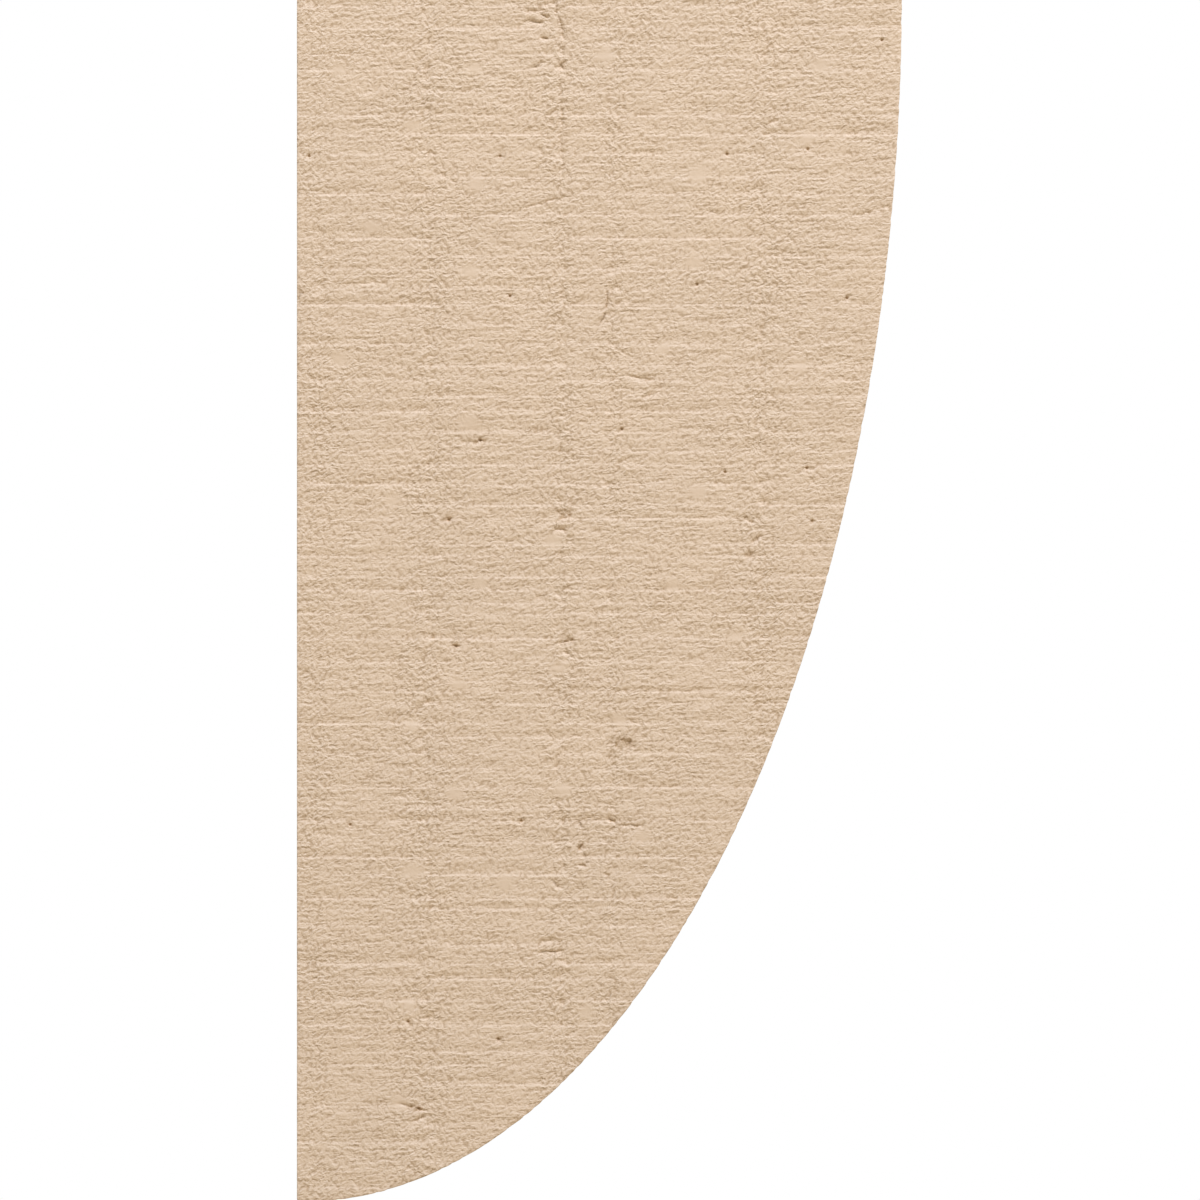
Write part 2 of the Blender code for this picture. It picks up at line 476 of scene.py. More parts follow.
# Creases that stand out on the near side, as (from the wall, down, length, tilt in degrees up from
# level, strength), with lengths in millimetres
CREASES = (
    (131.3, 8.0, 8, -88, 0.8),
    (132.3, 13.8, 5, -64, 1.0),
    (133.5, 17.8, 6, -76, 1.0),
    (134.0, 22.0, 4, -88, 0.7),
    (132.6, 27.9, 5, -58, 0.7),
    (133.8, 38.0, 7, -80, 0.6),
    (133.6, 72.0, 58, -89, 0.45),
    (121.0, 9.6, 11, -3, 0.8),
    (124.5, 12.6, 5, -28, 0.9),
    (120.5, 15.0, 9, -4, 0.8),
    (127.0, 5.6, 9, 0, 0.6),
    (124.8, 23.6, 4, -14, 1.2),
    (129.2, 24.0, 3, 5, 0.7),
    (121.5, 36.8, 8, 26, 0.8),
    (156.0, 155.5, 12, 88, 1.0),
    (154.6, 164.0, 7, 62, 0.9),
    (158.5, 150.0, 8, 20, 0.6),
    (123.6, 106.5, 24, 15, 0.7),
    (291.5, 110.0, 25, 15, 0.6),
    (239.0, 66.0, 9, 20, 0.6),
    (28.0, 147.0, 40, 1, 0.35),
    (172.0, 194.5, 15, -10, 0.6),
    (178.0, 203.0, 12, 20, 0.6),
    (163.0, 181.0, 14, -35, 0.45),
    (135.0, 265.0, 9, 25, 0.9),
    (133.0, 271.0, 8, -15, 0.7),
    (90.0, 226.5, 14, 3, 0.7),
    (228.0, 266.0, 8, -30, 0.7),
    (231.5, 276.0, 8, 30, 0.7),
    (135.5, 327.5, 11, 10, 0.8),
    (137.5, 334.0, 7, -40, 0.7),
    (159.0, 417.4, 6, -30, 1.0),
    (168.0, 419.9, 15, -3, 0.8),
    (142.6, 419.5, 5, -60, 0.9),
    (143.3, 430.6, 5.5, 44, 1.0),
    (145.0, 436.0, 8, -70, 0.6),
    (143.6, 440.0, 4.5, 2, 1.0),
    (156.5, 444.8, 3, -20, 0.9),
    (130.5, 449.5, 6, -40, 0.8),
    (127.0, 483.5, 13, 4, 0.9),
    (128.0, 478.0, 11, 3, 0.5),
    (58.0, 562.0, 17, -15, 0.7),
    (62.0, 567.0, 10, 30, 0.6),
)
CREASE_WIDTH = 0.55 * MM
CREASE_DEPTH = 0.85 * MM
CREASE_REACH = 4 * CREASE_WIDTH
CREASE_ENDS = (-0.1, 0.25)  # shares of the length, from an end, between which it comes to full depth
CREASE_DENSITY = 1.4  # points to a millimetre of length
CREASE_LEAST = 5  # points
CREASE_LINES = (-1.9, -0.9, 0.0, 0.9, 1.9)  # lines of points that hold a crease, in widths from its middle
CREASE_CLEARANCE = 0.55 * CREASE_WIDTH

# Places on the near side where a flake broke out, as (from the wall, down, half length, half height,
# strength), with lengths in millimetres
FLAKES = (
    (164.3, 379.2, 6.6, 3.3, 1.3),
    (157.7, 385.0, 2.6, 1.5, 0.9),
    (143.0, 430.9, 2.4, 1.8, 0.9),
    (134.2, 262.4, 3.6, 2.2, 1.0),
    (131.8, 282.7, 2.0, 1.3, 0.6),
    (122.0, 305.2, 2.4, 1.0, 0.6),
    (137.7, 326.8, 3.2, 2.0, 1.0),
    (131.8, 339.4, 2.2, 1.2, 0.6),
    (76.7, 265.8, 3.6, 1.7, 0.8),
    (79.9, 330.0, 3.2, 1.6, 0.8),
    (182.0, 199.5, 2.6, 1.6, 0.6),
    (228.0, 283.5, 3.0, 2.4, 0.9),
    (232.0, 360.2, 3.2, 2.0, 0.8),
    (60.5, 511.7, 2.4, 1.2, 0.6),
    (59.0, 562.4, 5.0, 2.0, 1.0),
    (102.0, 528.0, 2.2, 1.1, 0.6),
    (61.0, 360.0, 2.4, 1.4, 0.5),
)
FLAKE_DEPTH = 0.9 * MM
FLAKE_RIM = (0.5, 1.1)  # shares of a flake's half length between which its rim slopes
FLAKE_STEP = 0.75 * MM  # between the points that hold a flake's floor
FLAKE_SLANT = 0.3  # of the lines of those points
FLAKE_CLEARANCE = 0.7 * FLAKE_STEP

# Pinholes of the near side: (from the wall, down), in millimetres
PINHOLES = (
    (257.3, 79.3), (216.6, 81.8), (256.8, 239.9), (215.6, 241.9), (26.8, 419.6), (102.3, 82.8),
    (92.2, 225.8), (56.0, 518.8), (112.9, 417.6), (61.5, 562.6), (163.7, 220.3), (259.4, 266.6),
    (201.5, 147.3), (80.2, 329.5), (294.6, 24.4), (277.0, 154.3), (6.1, 82.8), (76.6, 266.1),
    (107.3, 153.3), (2.6, 151.8), (101.3, 527.4),
)
PINHOLE_DEPTH = 1.1 * MM
PINHOLE_CLEARANCE = 0.25 * MM

# Rings of points that hold a pinhole, from its middle out: (radius, share of the depth, points)
PINHOLE_RINGS = ((0.0, 1.0, 1), (0.45 * MM, 0.85, 8), (0.85 * MM, 0.3, 10), (1.3 * MM, 0.0, 12))

# Smooth spots of the near side, where the mould stayed filled: (from the wall, down), in millimetres
SMOOTH_SPOTS = (
    (21.2, 39.0), (89.2, 38.5), (58.0, 67.7), (90.2, 96.9), (37.4, 118.6), (87.2, 140.7), (155.2, 32.0),
    (263.9, 37.0), (256.4, 74.3), (202.0, 92.4), (200.0, 136.7), (21.2, 185.0), (87.2, 217.7),
    (48.4, 256.0), (129.0, 276.7), (92.2, 297.8), (184.4, 180.0), (253.4, 189.0), (202.0, 252.0),
    (189.0, 299.3), (132.0, 340.1), (81.2, 349.2), (58.0, 369.8), (221.1, 325.0), (162.2, 366.8),
    (134.0, 402.0), (79.2, 404.0), (173.8, 425.7), (58.0, 442.8), (104.8, 448.8), (56.5, 510.3),
    (145.6, 513.8), (51.5, 559.6),
)
SPOT_LENGTH = 5.0 * MM
SPOT_HEIGHT = 4.0 * MM
SPOT_SIZES = (0.7, 1.15)  # the smallest and largest spot, as shares of the usual one
SPOT_HEIGHTS = (0.85, 1.2)  # and how flat or high it is
SPOT_RIM = (0.3, 1.5)  # shares of a spot's radius between which it fades out

# Rough bands: (from the wall, half width), in millimetres
ROUGH_BANDS = ((9, 8), (63, 13), (131, 9), (159, 5), (232, 12))

# Features of the far side are scattered by chance: (how many, how far inside the outline)
FAR_CREASES = (18, 20 * MM)
FAR_FLAKES = (9, 12 * MM)
FAR_PINHOLES = (16, 5 * MM)
FAR_SPOTS = (30, 8 * MM)
FAR_CREASE_LENGTH = (8, 28)  # shortest and longest, in millimetres
FAR_CREASE_TILT = (8, 25)  # mean and spread, in degrees
FAR_CREASE_STRENGTH = (0.4, 1)
FAR_FLAKE_LENGTH = (2.2, 4.5)  # half the length, shortest and longest, in millimetres
FAR_FLAKE_HEIGHT = (0.4, 0.7)  # as a share of the length
FAR_FLAKE_STRENGTH = (0.5, 0.9)

# Points of a side keep clear of each other by these distances
FEATURE_MARGIN = 3 * MM  # from the outline to a feature's points
FEATURE_CLEARANCE = 1.1 * MM  # from a feature's points to the rows
RIM_CLEARANCE = 0.6  # from the rim, as a share of the distance between rows
FEATURES_COMPARED = 60  # a point is compared with as many points before it

# Air bubbles that burst in the flat faces, which were poured open
FLAT_PITS = {"back": 34, "top": 11}
PIT_RADIUS = (1.0 * MM, 2.4 * MM)
PIT_SHRINK = (0.5, 1.0)  # and the share of that radius which a pit keeps
PIT_DEPTH = 0.8  # as a share of the radius
PIT_MARGIN = 9 * MM  # kept clear round a pit's middle
PIT_LOBES = 3
PIT_LOBE_SIZE = 0.12  # how far the lobes stray from round, as a share of the radius

# Rings of points that hold a pit: (share of the radius, share of the depth, points)
PIT_RINGS = ((0.0, 1.0, 1), (0.5, 0.88, 7), (0.85, 0.5, 9), (1.0, 0.0, 11), (1.25, 0.0, 12))


def inside_side(x, down, margin):
    """Whether a point lies on a side, a margin inside its outline."""
    edge = TOE + (ACROSS - margin) * math.sqrt(max(0.0, 1 - (down / (HEIGHT - margin)) ** 2))
    return margin < x < edge and margin < down


def scatter_on_side(count, margin, chance):
    """Chance places on a side, a margin inside its outline."""
    places = []
    while len(places) < count:
        x = chance.uniform(0, PROJECTION)
        down = chance.uniform(0, HEIGHT)
        if inside_side(x, down, margin):
            places.append((x, down))
    return places


def crease_path(x, down, length, tilt, seed):
    """Points along a crease, about a row apart, wandering a little to either side."""
    count = max(CREASE_LEAST, round(CREASE_DENSITY * length / MM))
    along = np.linspace(-length / 2, length / 2, count)
    off = uneven_line(CREASE_WANDER, along, seed)
    turn = math.radians(tilt)
    xs = x + along * math.cos(turn) - off * math.sin(turn)
    downs = down - along * math.sin(turn) - off * math.cos(turn)
    return np.column_stack((xs, downs))


def near_features():
    """The near side's creases, flakes, pinholes and smooth spots, in metres."""
    return {
        "creases": [(x * MM, down * MM, length * MM, *rest) for x, down, length, *rest in CREASES],
        "flakes": [(x * MM, down * MM, a * MM, b * MM, share) for x, down, a, b, share in FLAKES],
        "pinholes": [(x * MM, down * MM) for x, down in PINHOLES],
        "spots": [(x * MM, down * MM) for x, down in SMOOTH_SPOTS],
    }


def far_features():
    """The far side's creases, flakes, pinholes and smooth spots, in metres."""
    chance = random.Random("features far")
    creases = []
    for x, down in scatter_on_side(*FAR_CREASES, chance):
        length = chance.uniform(*FAR_CREASE_LENGTH) * MM
        tilt = chance.gauss(*FAR_CREASE_TILT)
        creases.append((x, down, length, tilt, chance.uniform(*FAR_CREASE_STRENGTH)))
    pinholes = scatter_on_side(*FAR_PINHOLES, chance)
    spots = scatter_on_side(*FAR_SPOTS, chance)
    flakes = []
    for x, down in scatter_on_side(*FAR_FLAKES, chance):
        half = chance.uniform(*FAR_FLAKE_LENGTH) * MM
        height = half * chance.uniform(*FAR_FLAKE_HEIGHT)
        flakes.append((x, down, half, height, chance.uniform(*FAR_FLAKE_STRENGTH)))
    return {"creases": creases, "flakes": flakes, "pinholes": pinholes, "spots": spots}


def side_features(side):
    """One side's features, with each crease as (its path, its strength)."""
    features = near_features() if side == "near" else far_features()
    paths = []
    for index, (x, down, length, tilt, share) in enumerate(features["creases"]):
        paths.append((crease_path(x, down, length, tilt, index), share))
    return {**features, "creases": paths}


def rough_share(x, down):
    """How rough a side is at each point, from 0 to 1."""
    wander = uneven_line(ROUGH_WANDER, down)
    total = np.zeros_like(x)
    for middle, half in ROUGH_BANDS:
        total += np.exp(-(((x + wander - middle * MM) / (half * MM)) ** 2))
    return np.clip(total, 0.0, 1.0)


def crease_share(x, down, creases):
    """How deep in a crease each point lies, from 0 to 1."""
    deep = np.zeros_like(x)
    for path, share in creases:
        low = path.min(axis=0) - CREASE_REACH
        high = path.max(axis=0) + CREASE_REACH
        close = np.flatnonzero((x > low[0]) & (x < high[0]) & (down > low[1]) & (down < high[1]))
        if not len(close):
            continue
        gaps = np.hypot(x[close, None] - path[None, :, 0], down[close, None] - path[None, :, 1])
        nearest = gaps.argmin(axis=1)
        ends = np.minimum(nearest, len(path) - 1 - nearest) / (len(path) - 1)
        value = share * np.exp(-((gaps.min(axis=1) / CREASE_WIDTH) ** 2)) * smooth_step(ends, *CREASE_ENDS)
        deep[close] = np.maximum(deep[close], value)
    return deep


def flake_share(x, down, flakes):
    """How far each point is inside a place where a flake broke out, from 0 to 1, with a ragged edge."""
    ragged = uneven(FLAKE_EDGE, x, down)
    broken = np.zeros_like(x)
    for flake_x, flake_down, half_length, half_height, share in flakes:
        reach = np.hypot((x - flake_x) / half_length, (down - flake_down) / half_height) + ragged
        broken = np.maximum(broken, share * (1 - smooth_step(reach, *FLAKE_RIM)))
    return broken


def pinhole_share(x, down, pinholes):
    """How deep in a pinhole each point lies, from 0 to 1."""
    radii = [radius for radius, _, _ in PINHOLE_RINGS]
    depths = [depth for _, depth, _ in PINHOLE_RINGS]
    deep = np.zeros_like(x)
    for hole_x, hole_down in pinholes:
        gap = np.hypot(x - hole_x, down - hole_down)
        deep = np.maximum(deep, np.interp(gap, radii, depths))
    return deep


def spot_share(x, down, spots, side):
    """How far each point is inside a smooth spot, from 0 to 1."""
    chance = random.Random(f"spots {side}")
    smooth = np.zeros_like(x)
    for spot_x, spot_down in spots:
        size = chance.uniform(*SPOT_SIZES)
        across = (x - spot_x) / (SPOT_LENGTH * size)
        along = (down - spot_down) / (SPOT_HEIGHT * size * chance.uniform(*SPOT_HEIGHTS))
        smooth = np.maximum(smooth, 1 - smooth_step(np.hypot(across, along), *SPOT_RIM))
    return smooth


def by_roughness(share, rough):
    """An amount given as (usual amount, what is added where it is rough)."""
    usual, added = share
    return usual + added * rough


def ring_of_points(x, down, radius, count):
    """Places evenly round a circle in a plane."""
    turns = [2 * math.pi * step / count for step in range(count)]
    return [(x + radius * math.cos(turn), down + radius * math.sin(turn)) for turn in turns]


class SideSurface:
    """One sawn side: its depth under the full width, and its masks, at any point."""

    def __init__(self, side, settings):
        """Works out the side's marks, tears and features."""
        self.side = side
        self.settings = settings
        self.seed = SIDE_SEEDS[side]
        run = HEIGHT + 2 * OVERRUN
        self.marks = saw_marks(run, self.seed, SIDE_DEPTH)
        self.knots = ledge_knots(self.marks, run)
        self.strengths = stretch_strengths(len(self.marks), self.seed)
        self.tears = tear_depths(len(self.knots), self.seed)
        self.features = side_features(side)

    def stretch_weights(self, x, down):
        """How much each point belongs to each stretch between the seams, which have a ragged edge."""
        size, height, length, draw = MARK_ENDS
        passed = []
        for index, seam in enumerate(SEAMS):
            ragged = uneven_line(STRETCH_EDGE, down, self.seed, index)
            ragged += size * wave(down / height, x / length + index, self.seed + draw)
            passed.append(np.clip((x + ragged - seam) / RAGGED_WIDTH + 0.5, 0, 1))
        edges = [np.ones_like(x)] + passed + [np.zeros_like(x)]
        return [before - after for before, after in zip(edges, edges[1:])]

    def ledges(self, x, down):
        """Depth of the saw marks, and how near each point is to one and on which side of it."""
        fine = 1 + uneven(MARK_UNEVEN, x, down, self.seed)
        depth = np.zeros_like(x)
        shown = np.zeros_like(x)
        places = np.array([at for at, _ in self.marks])
        nearest = np.abs((down + OVERRUN)[:, None] - places).argmin(axis=1)
        for stretch, weight in enumerate(self.stretch_weights(x, down)):
            strength = np.repeat(self.strengths[:, stretch], 2)
            depths = self.knots[:, 1].copy()
            depths[1:-1] = np.sqrt(depths[1:-1] * strength * USUAL_LEDGE)
            level = uneven_line(STRETCH_LEVEL, down, self.seed, stretch)
            depth += weight * (fine * ledge_depth(down + OVERRUN, self.knots[:, 0], depths) + level)
            shown += weight * depths[1:-1:2][nearest] / USUAL_LEDGE
        gap = down + OVERRUN - places[nearest]
        return depth, fine * shown * near_mark(gap), np.clip(gap, -LINE_REACH, LINE_REACH)

    def torn(self, x, down):
        """The solid's torn seams, broken here into crumbs and chips."""
        wander = sum(uneven_line(kind, down, self.seed) for kind in SEAM_WANDER)
        between, added = USUAL_CHIP
        chips = between + added * smooth_step(uneven(CHIPS, x, down, self.seed), *CHIP_EDGE)
        depth = np.zeros_like(x)
        for index, seam in enumerate(SEAMS):
            near = np.clip(1 - np.abs(x + wander - seam) / (SEAM_WIDTH / 2), 0, 1)
            tear = np.interp(down + OVERRUN, self.knots[:, 0], self.tears[:, index])
            depth += near * (tear + LEAST_TEAR)
        return depth * chips

    def look(self, x, down):
        """Depth under the full width, and the masks that the material reads, at each point."""
        settings = self.settings
        rough = rough_share(x, down)
        smooth = spot_share(x, down, self.features["spots"], self.side)
        crease = crease_share(x, down, self.features["creases"])
        pinhole = pinhole_share(x, down, self.features["pinholes"])
        flake = flake_share(x, down, self.features["flakes"])
        flake *= USUAL_FLAKE + uneven(FLAKE_FLOOR, x, down, self.seed)
        swell = settings.swell_depth * sum(uneven(kind, x, down, self.seed) for kind in SWELLS)
        lump = sum(uneven(kind, x, down, self.seed) for kind in LUMPS)
        lumps = settings.lump_depth * by_roughness(LUMP_SHARE, rough) * (1 - smooth) * lump
        torn = self.torn(x, down) * (1 - smooth)
        ledge, line, gap = self.ledges(x, down)
        depth = settings.skin + ledge + torn + swell + lumps
        depth += CREASE_DEPTH * crease + PINHOLE_DEPTH * pinhole + FLAKE_DEPTH * flake
        # Painted shade: chipped tears, creases, pinholes and flakes get a darker colour that stands in for
        # the shade in them
        chipped = smooth_step(torn, *CHIPPED_DEPTH)
        painted_shade = CREASE_SHADE * crease**2 + pinhole + FLAKE_SHADE * flake + CHIP_SHADE * chipped
        combed = (1 - rough) * (USUAL_COMBING + uneven(COMBING, x, down, self.seed))
        grain = by_roughness(GRAIN_SHARE, rough) * (1 - SPOT_GRAIN_LOSS * smooth)
        masks = {
            "painted_shade": np.clip(painted_shade, 0, 1),
            "grain": grain * (1 - PINHOLE_GRAIN_LOSS * pinhole),
            "combed": np.clip(combed, 0, 1),
            "line": line * (1 - smooth),
            "gap": gap,
        }
        return np.maximum(depth, 0.0), masks

    def feature_points(self):
        """Extra points that hold creases, flakes and pinholes, each with the space it clears round it."""
        points = []
        for path, _ in self.features["creases"]:
            ahead = np.gradient(path, axis=0)
            ahead /= np.linalg.norm(ahead, axis=1, keepdims=True)
            across = ahead[:, ::-1] * (1, -1)
            for offset in CREASE_LINES:
                line = path + across * offset * CREASE_WIDTH
                points.extend((x, down, CREASE_CLEARANCE) for x, down in line)
        for x, down, half_length, half_height, _ in self.features["flakes"]:
            for a in np.arange(-half_length, half_length, FLAKE_STEP):
                for b in np.arange(-half_height, half_height, FLAKE_STEP):
                    points.append((x + a + FLAKE_SLANT * b, down + b, FLAKE_CLEARANCE))
        for x, down in self.features["pinholes"]:
            for radius, _, count in PINHOLE_RINGS:
                ring = ring_of_points(x, down, radius, count)
                points.extend((*place, PINHOLE_CLEARANCE) for place in ring)
        return [point for point in points if inside_side(point[0], point[1], FEATURE_MARGIN)]


class FrontSurface:
    """The sawn curve: its depth under the outline, and its masks, at any point."""

    def __init__(self, run):
        """Works out the curve's marks."""
        self.run = run
        self.marks = saw_marks(run, FRONT_SEED, FRONT_DEPTH)
        self.knots = ledge_knots(self.marks, run)

    def look(self, y, run):
        """Depth under the outline, and the masks that the material reads, at each point."""
        nose_fade, toe_fade = FRONT_FADE
        fade = smooth_step(run, 0.0, nose_fade) * (1 - smooth_step(run, self.run - toe_fade, self.run))
        fine = 1 + uneven(FRONT_MARK_UNEVEN, y, run, FRONT_SEED)
        ledge = fine * ledge_depth(run, self.knots[:, 0], self.knots[:, 1])
        places, depths = np.array(self.marks).T
        nearest = np.abs(run[:, None] - places).argmin(axis=1)
        gap = run - places[nearest]
        line = fine * fade * depths[nearest] / FRONT_DEPTH * near_mark(gap)
        lump = sum(uneven(kind, y, run, FRONT_SEED) for kind in FRONT_LUMPS)
        swell = uneven(FRONT_SWELL, y, run, FRONT_SEED)
        depth = FRONT_SKIN + ledge + FRONT_LUMP_DEPTH * lump + FRONT_SWELL_DEPTH * swell
        rough = 0.5 + uneven(FRONT_ROUGH, y, run, FRONT_SEED)
        masks = {
            "grain": by_roughness(FRONT_GRAIN_SHARE, rough),
            "combed": np.clip(1 - rough, 0, 1),
            "line": line,
            "gap": np.clip(gap, -LINE_REACH, LINE_REACH),
        }
        return np.maximum(depth, 0.0) * fade, masks


def curve_table():
    """Distance run along the curve, from the nose to the foot, against the angle round the ellipse."""
    angles = np.linspace(0.0, math.pi / 2, ARC_SAMPLES)
    steps = np.hypot(np.diff(ACROSS * np.cos(angles)), np.diff(HEIGHT * np.sin(angles)))
    return np.concatenate(([0.0], np.cumsum(steps))), angles


def rows_between(knots, longest):
    """Places that include every knot, with even steps no longer than the longest between them."""
    places = []
    for start, end in zip(knots, knots[1:]):
        count = max(1, math.ceil((end - start) / longest - ROW_SLACK))
        places.extend(np.linspace(start, end, count, endpoint=False))
    places.append(knots[-1])
    return np.array(places)


def arc_points(middle, radius, start, end):
    """Points and outward normals round a corner, without its two ends."""
    turns = np.radians(np.linspace(start, end, CORNER_STEPS + 1))[1:-1]
    normals = np.column_stack((np.cos(turns), np.sin(turns)))
    return np.array(middle) + radius * normals, normals


def straight_points(start, end, normal, step):
    """Points along a straight edge with both ends, and their normals."""
    start = np.array(start)
    end = np.array(end)
    count = max(1, round(np.linalg.norm(end - start) / step))
    shares = np.linspace(0, 1, count + 1)[:, None]
    return start + shares * (end - start), np.tile(normal, (count + 1, 1))


def curve_points(corner, longest):
    """Points and outward normals down the curve, past the nose's corner: at its saw marks and between."""
    lengths, angles = curve_table()
    run = lengths[-1]
    knots = ledge_knots(saw_marks(run, FRONT_SEED, FRONT_DEPTH), run)[:, 0]
    knots = np.concatenate(([corner], knots[knots > 2 * corner]))
    turned = np.interp(rows_between(knots, longest), lengths, angles)
    points = np.column_stack((TOE + ACROSS * np.cos(turned), TOP - HEIGHT * np.sin(turned)))
    normals = np.column_stack((np.cos(turned) / ACROSS, -np.sin(turned) / HEIGHT))
    return points, normals / np.linalg.norm(normals, axis=1, keepdims=True)


class Profile:
    """The side outline as a closed loop: nose corner, curve, toe, back, top and back to the nose."""

    def __init__(self, settings):
        """Works out the loop's points, their normals and which rows each face has."""
        corner = settings.corner
        foot = TOP - HEIGHT
        start = (np.array([[PROJECTION - corner, TOP]]), np.array([[0.0, 1.0]]))
        nose = arc_points((PROJECTION - corner, TOP - corner), corner, 90, 0)
        curve = curve_points(corner, settings.front_step)
        toe = straight_points((TOE, foot), (corner, foot), (0.0, -1.0), RIM_STEP)
        heel = arc_points((corner, foot + corner), corner, 270, 180)
        back = straight_points((0.0, foot + corner), (0.0, TOP - corner), (-1.0, 0.0), RIM_STEP)
        head = arc_points((corner, TOP - corner), corner, 180, 90)
        top = straight_points((corner, TOP), (PROJECTION - corner, TOP), (0.0, 1.0), RIM_STEP)
        parts = {
            "start": start,
            "nose": nose,
            "curve": curve,
            "toe": [values[1:] for values in toe],
            "heel": heel,
            "back": back,
            "head": head,
            "top": [values[:-1] for values in top],
        }
        self.points = np.concatenate([points for points, _ in parts.values()])
        self.normals = np.concatenate([normals for _, normals in parts.values()])
        steps = np.linalg.norm(np.diff(self.points, axis=0), axis=1)
        self.runs = np.concatenate(([0.0], np.cumsum(steps)))
        ends = dict(zip(parts, np.cumsum([len(points) for points, _ in parts.values()])))
        self.front_rows = range(0, ends["heel"] + 1)
        self.back_rows = range(ends["heel"], ends["back"])
        self.head_rows = range(ends["back"] - 1, ends["head"] + 1)
        self.top_rows = list(range(ends["head"], ends["top"])) + [0]
        self.front_run = self.runs[ends["heel"]]


class Shell:
    """Points and faces of the casting as they are added, with each face's region."""

    REGIONS = ("near", "far", "front", "top", "back")
    MASKS = {"painted_shade": 0.0, "grain": 1.0, "combed": 0.5, "line": 0.0, "gap": 0.0}

    def __init__(self):
        """Starts with no points and no faces."""
        self.points = []
        self.runs = []
        self.masks = {name: [] for name in self.MASKS}
        self.faces = []
        self.regions = []

    def add_points(self, points, run, masks):
        """Adds points and returns their indices. A mask that isn't given has its usual value."""
        first = len(self.points)
        count = len(points)
        self.points.extend(map(tuple, points))
        self.runs.extend(np.broadcast_to(run, (count,)).tolist())
        for name, usual in self.MASKS.items():
            self.masks[name].extend(np.broadcast_to(masks.get(name, usual), (count,)).tolist())
        return list(range(first, first + count))

    def add_faces(self, faces, region):
        """Adds faces, each a tuple of point indices, to one region."""
        before = len(self.faces)
        self.faces.extend(faces)
        self.regions.extend([self.REGIONS.index(region)] * (len(self.faces) - before))

    def strip(self, upper, lower, region):
        """Quads between one row of points and the next."""
        quads = zip(upper, lower, lower[1:], upper[1:])
        self.add_faces([tuple(map(int, quad)) for quad in quads], region)

    def fill(self, loop, loop_places, inner, inner_places, stretch, region, turned):
        """Triangles over the area inside a loop of points, using the inner points as well."""
        places = np.concatenate((loop_places, inner_places)) * (stretch, 1.0)
        ids = list(loop) + list(inner)
        count = len(loop)
        edges = [(index, (index + 1) % count) for index in range(count)]
        made = delaunay_2d_cdt([Vector(place) for place in places], edges, [], 1, POINTS_MEET)
        if len(made[0]) != len(places):
            raise RuntimeError(f"the {region} face has points that lie on each other")
        origin = [found[0] for found in made[3]]
        faces = []
        for face in made[2]:
            corners = tuple(ids[origin[index]] for index in face)
            faces.append(corners[::-1] if turned else corners)
        self.add_faces(faces, region)


def row_places(step, start, edge):
    """Places along a row from a start, a step apart in general and closer at the seams."""
    table = np.linspace(0.0, PROJECTION, ARC_SAMPLES)
    crowd = np.ones_like(table)
    for seam in SEAMS:
        crowd += SEAM_CROWD * np.exp(-(((table - seam) / SEAM_WIDTH) ** 2))
    counted = np.concatenate(([0.0], np.cumsum(0.5 * (crowd[1:] + crowd[:-1]) * np.diff(table))))
    places = np.interp(np.arange(start, counted[-1], step), counted, table)
    return places[places < edge]


def place_tree(places):
    """A search tree over places in a plane."""
    places = list(places)
    tree = KDTree(len(places))
    for index, (along, across) in enumerate(places):
        tree.insert((along, across, 0.0), index)
    tree.balance()
    return tree


def side_grid(surface, loop_places, row_step, column_step):
    """Inner points of a side: rows that follow its saw marks, cleared round its features and rim."""
    stretch = row_step / column_step
    knots = surface.knots[:, 0] - OVERRUN
    knots = np.concatenate(([0.0], knots[(knots > row_step) & (knots < HEIGHT - row_step)], [HEIGHT]))
    features = surface.feature_points()
    rim = place_tree((x * stretch, z) for x, z in loop_places)
    marked = place_tree((x, down) for x, down, _ in features)
    rim_gap = RIM_CLEARANCE * row_step
    places = []
    for number, down in enumerate(rows_between(knots, row_step)[1:-1]):
        edge = TOE + ACROSS * math.sqrt(1 - (down / HEIGHT) ** 2)
        shift = ROW_SHIFTS[number % len(ROW_SHIFTS)]
        for x in row_places(column_step, column_step * shift, edge):
            near_rim = rim.find((x * stretch, TOP - down, 0.0))[2] < rim_gap
            near_feature = marked.find((x, down, 0.0))[2] < FEATURE_CLEARANCE
            if not near_rim and not near_feature:
                places.append((x, down))
    chosen = []
    for x, down, clear in features:
        before = chosen[-FEATURES_COMPARED:]
        if all(math.hypot(x - a, down - b) > min(clear, c) for a, b, c in before):
            chosen.append((x, down, clear))
    for x, down, _ in chosen:
        if rim.find((x * stretch, TOP - down, 0.0))[2] > rim_gap:
            places.append((x, down))
    return np.array(places)


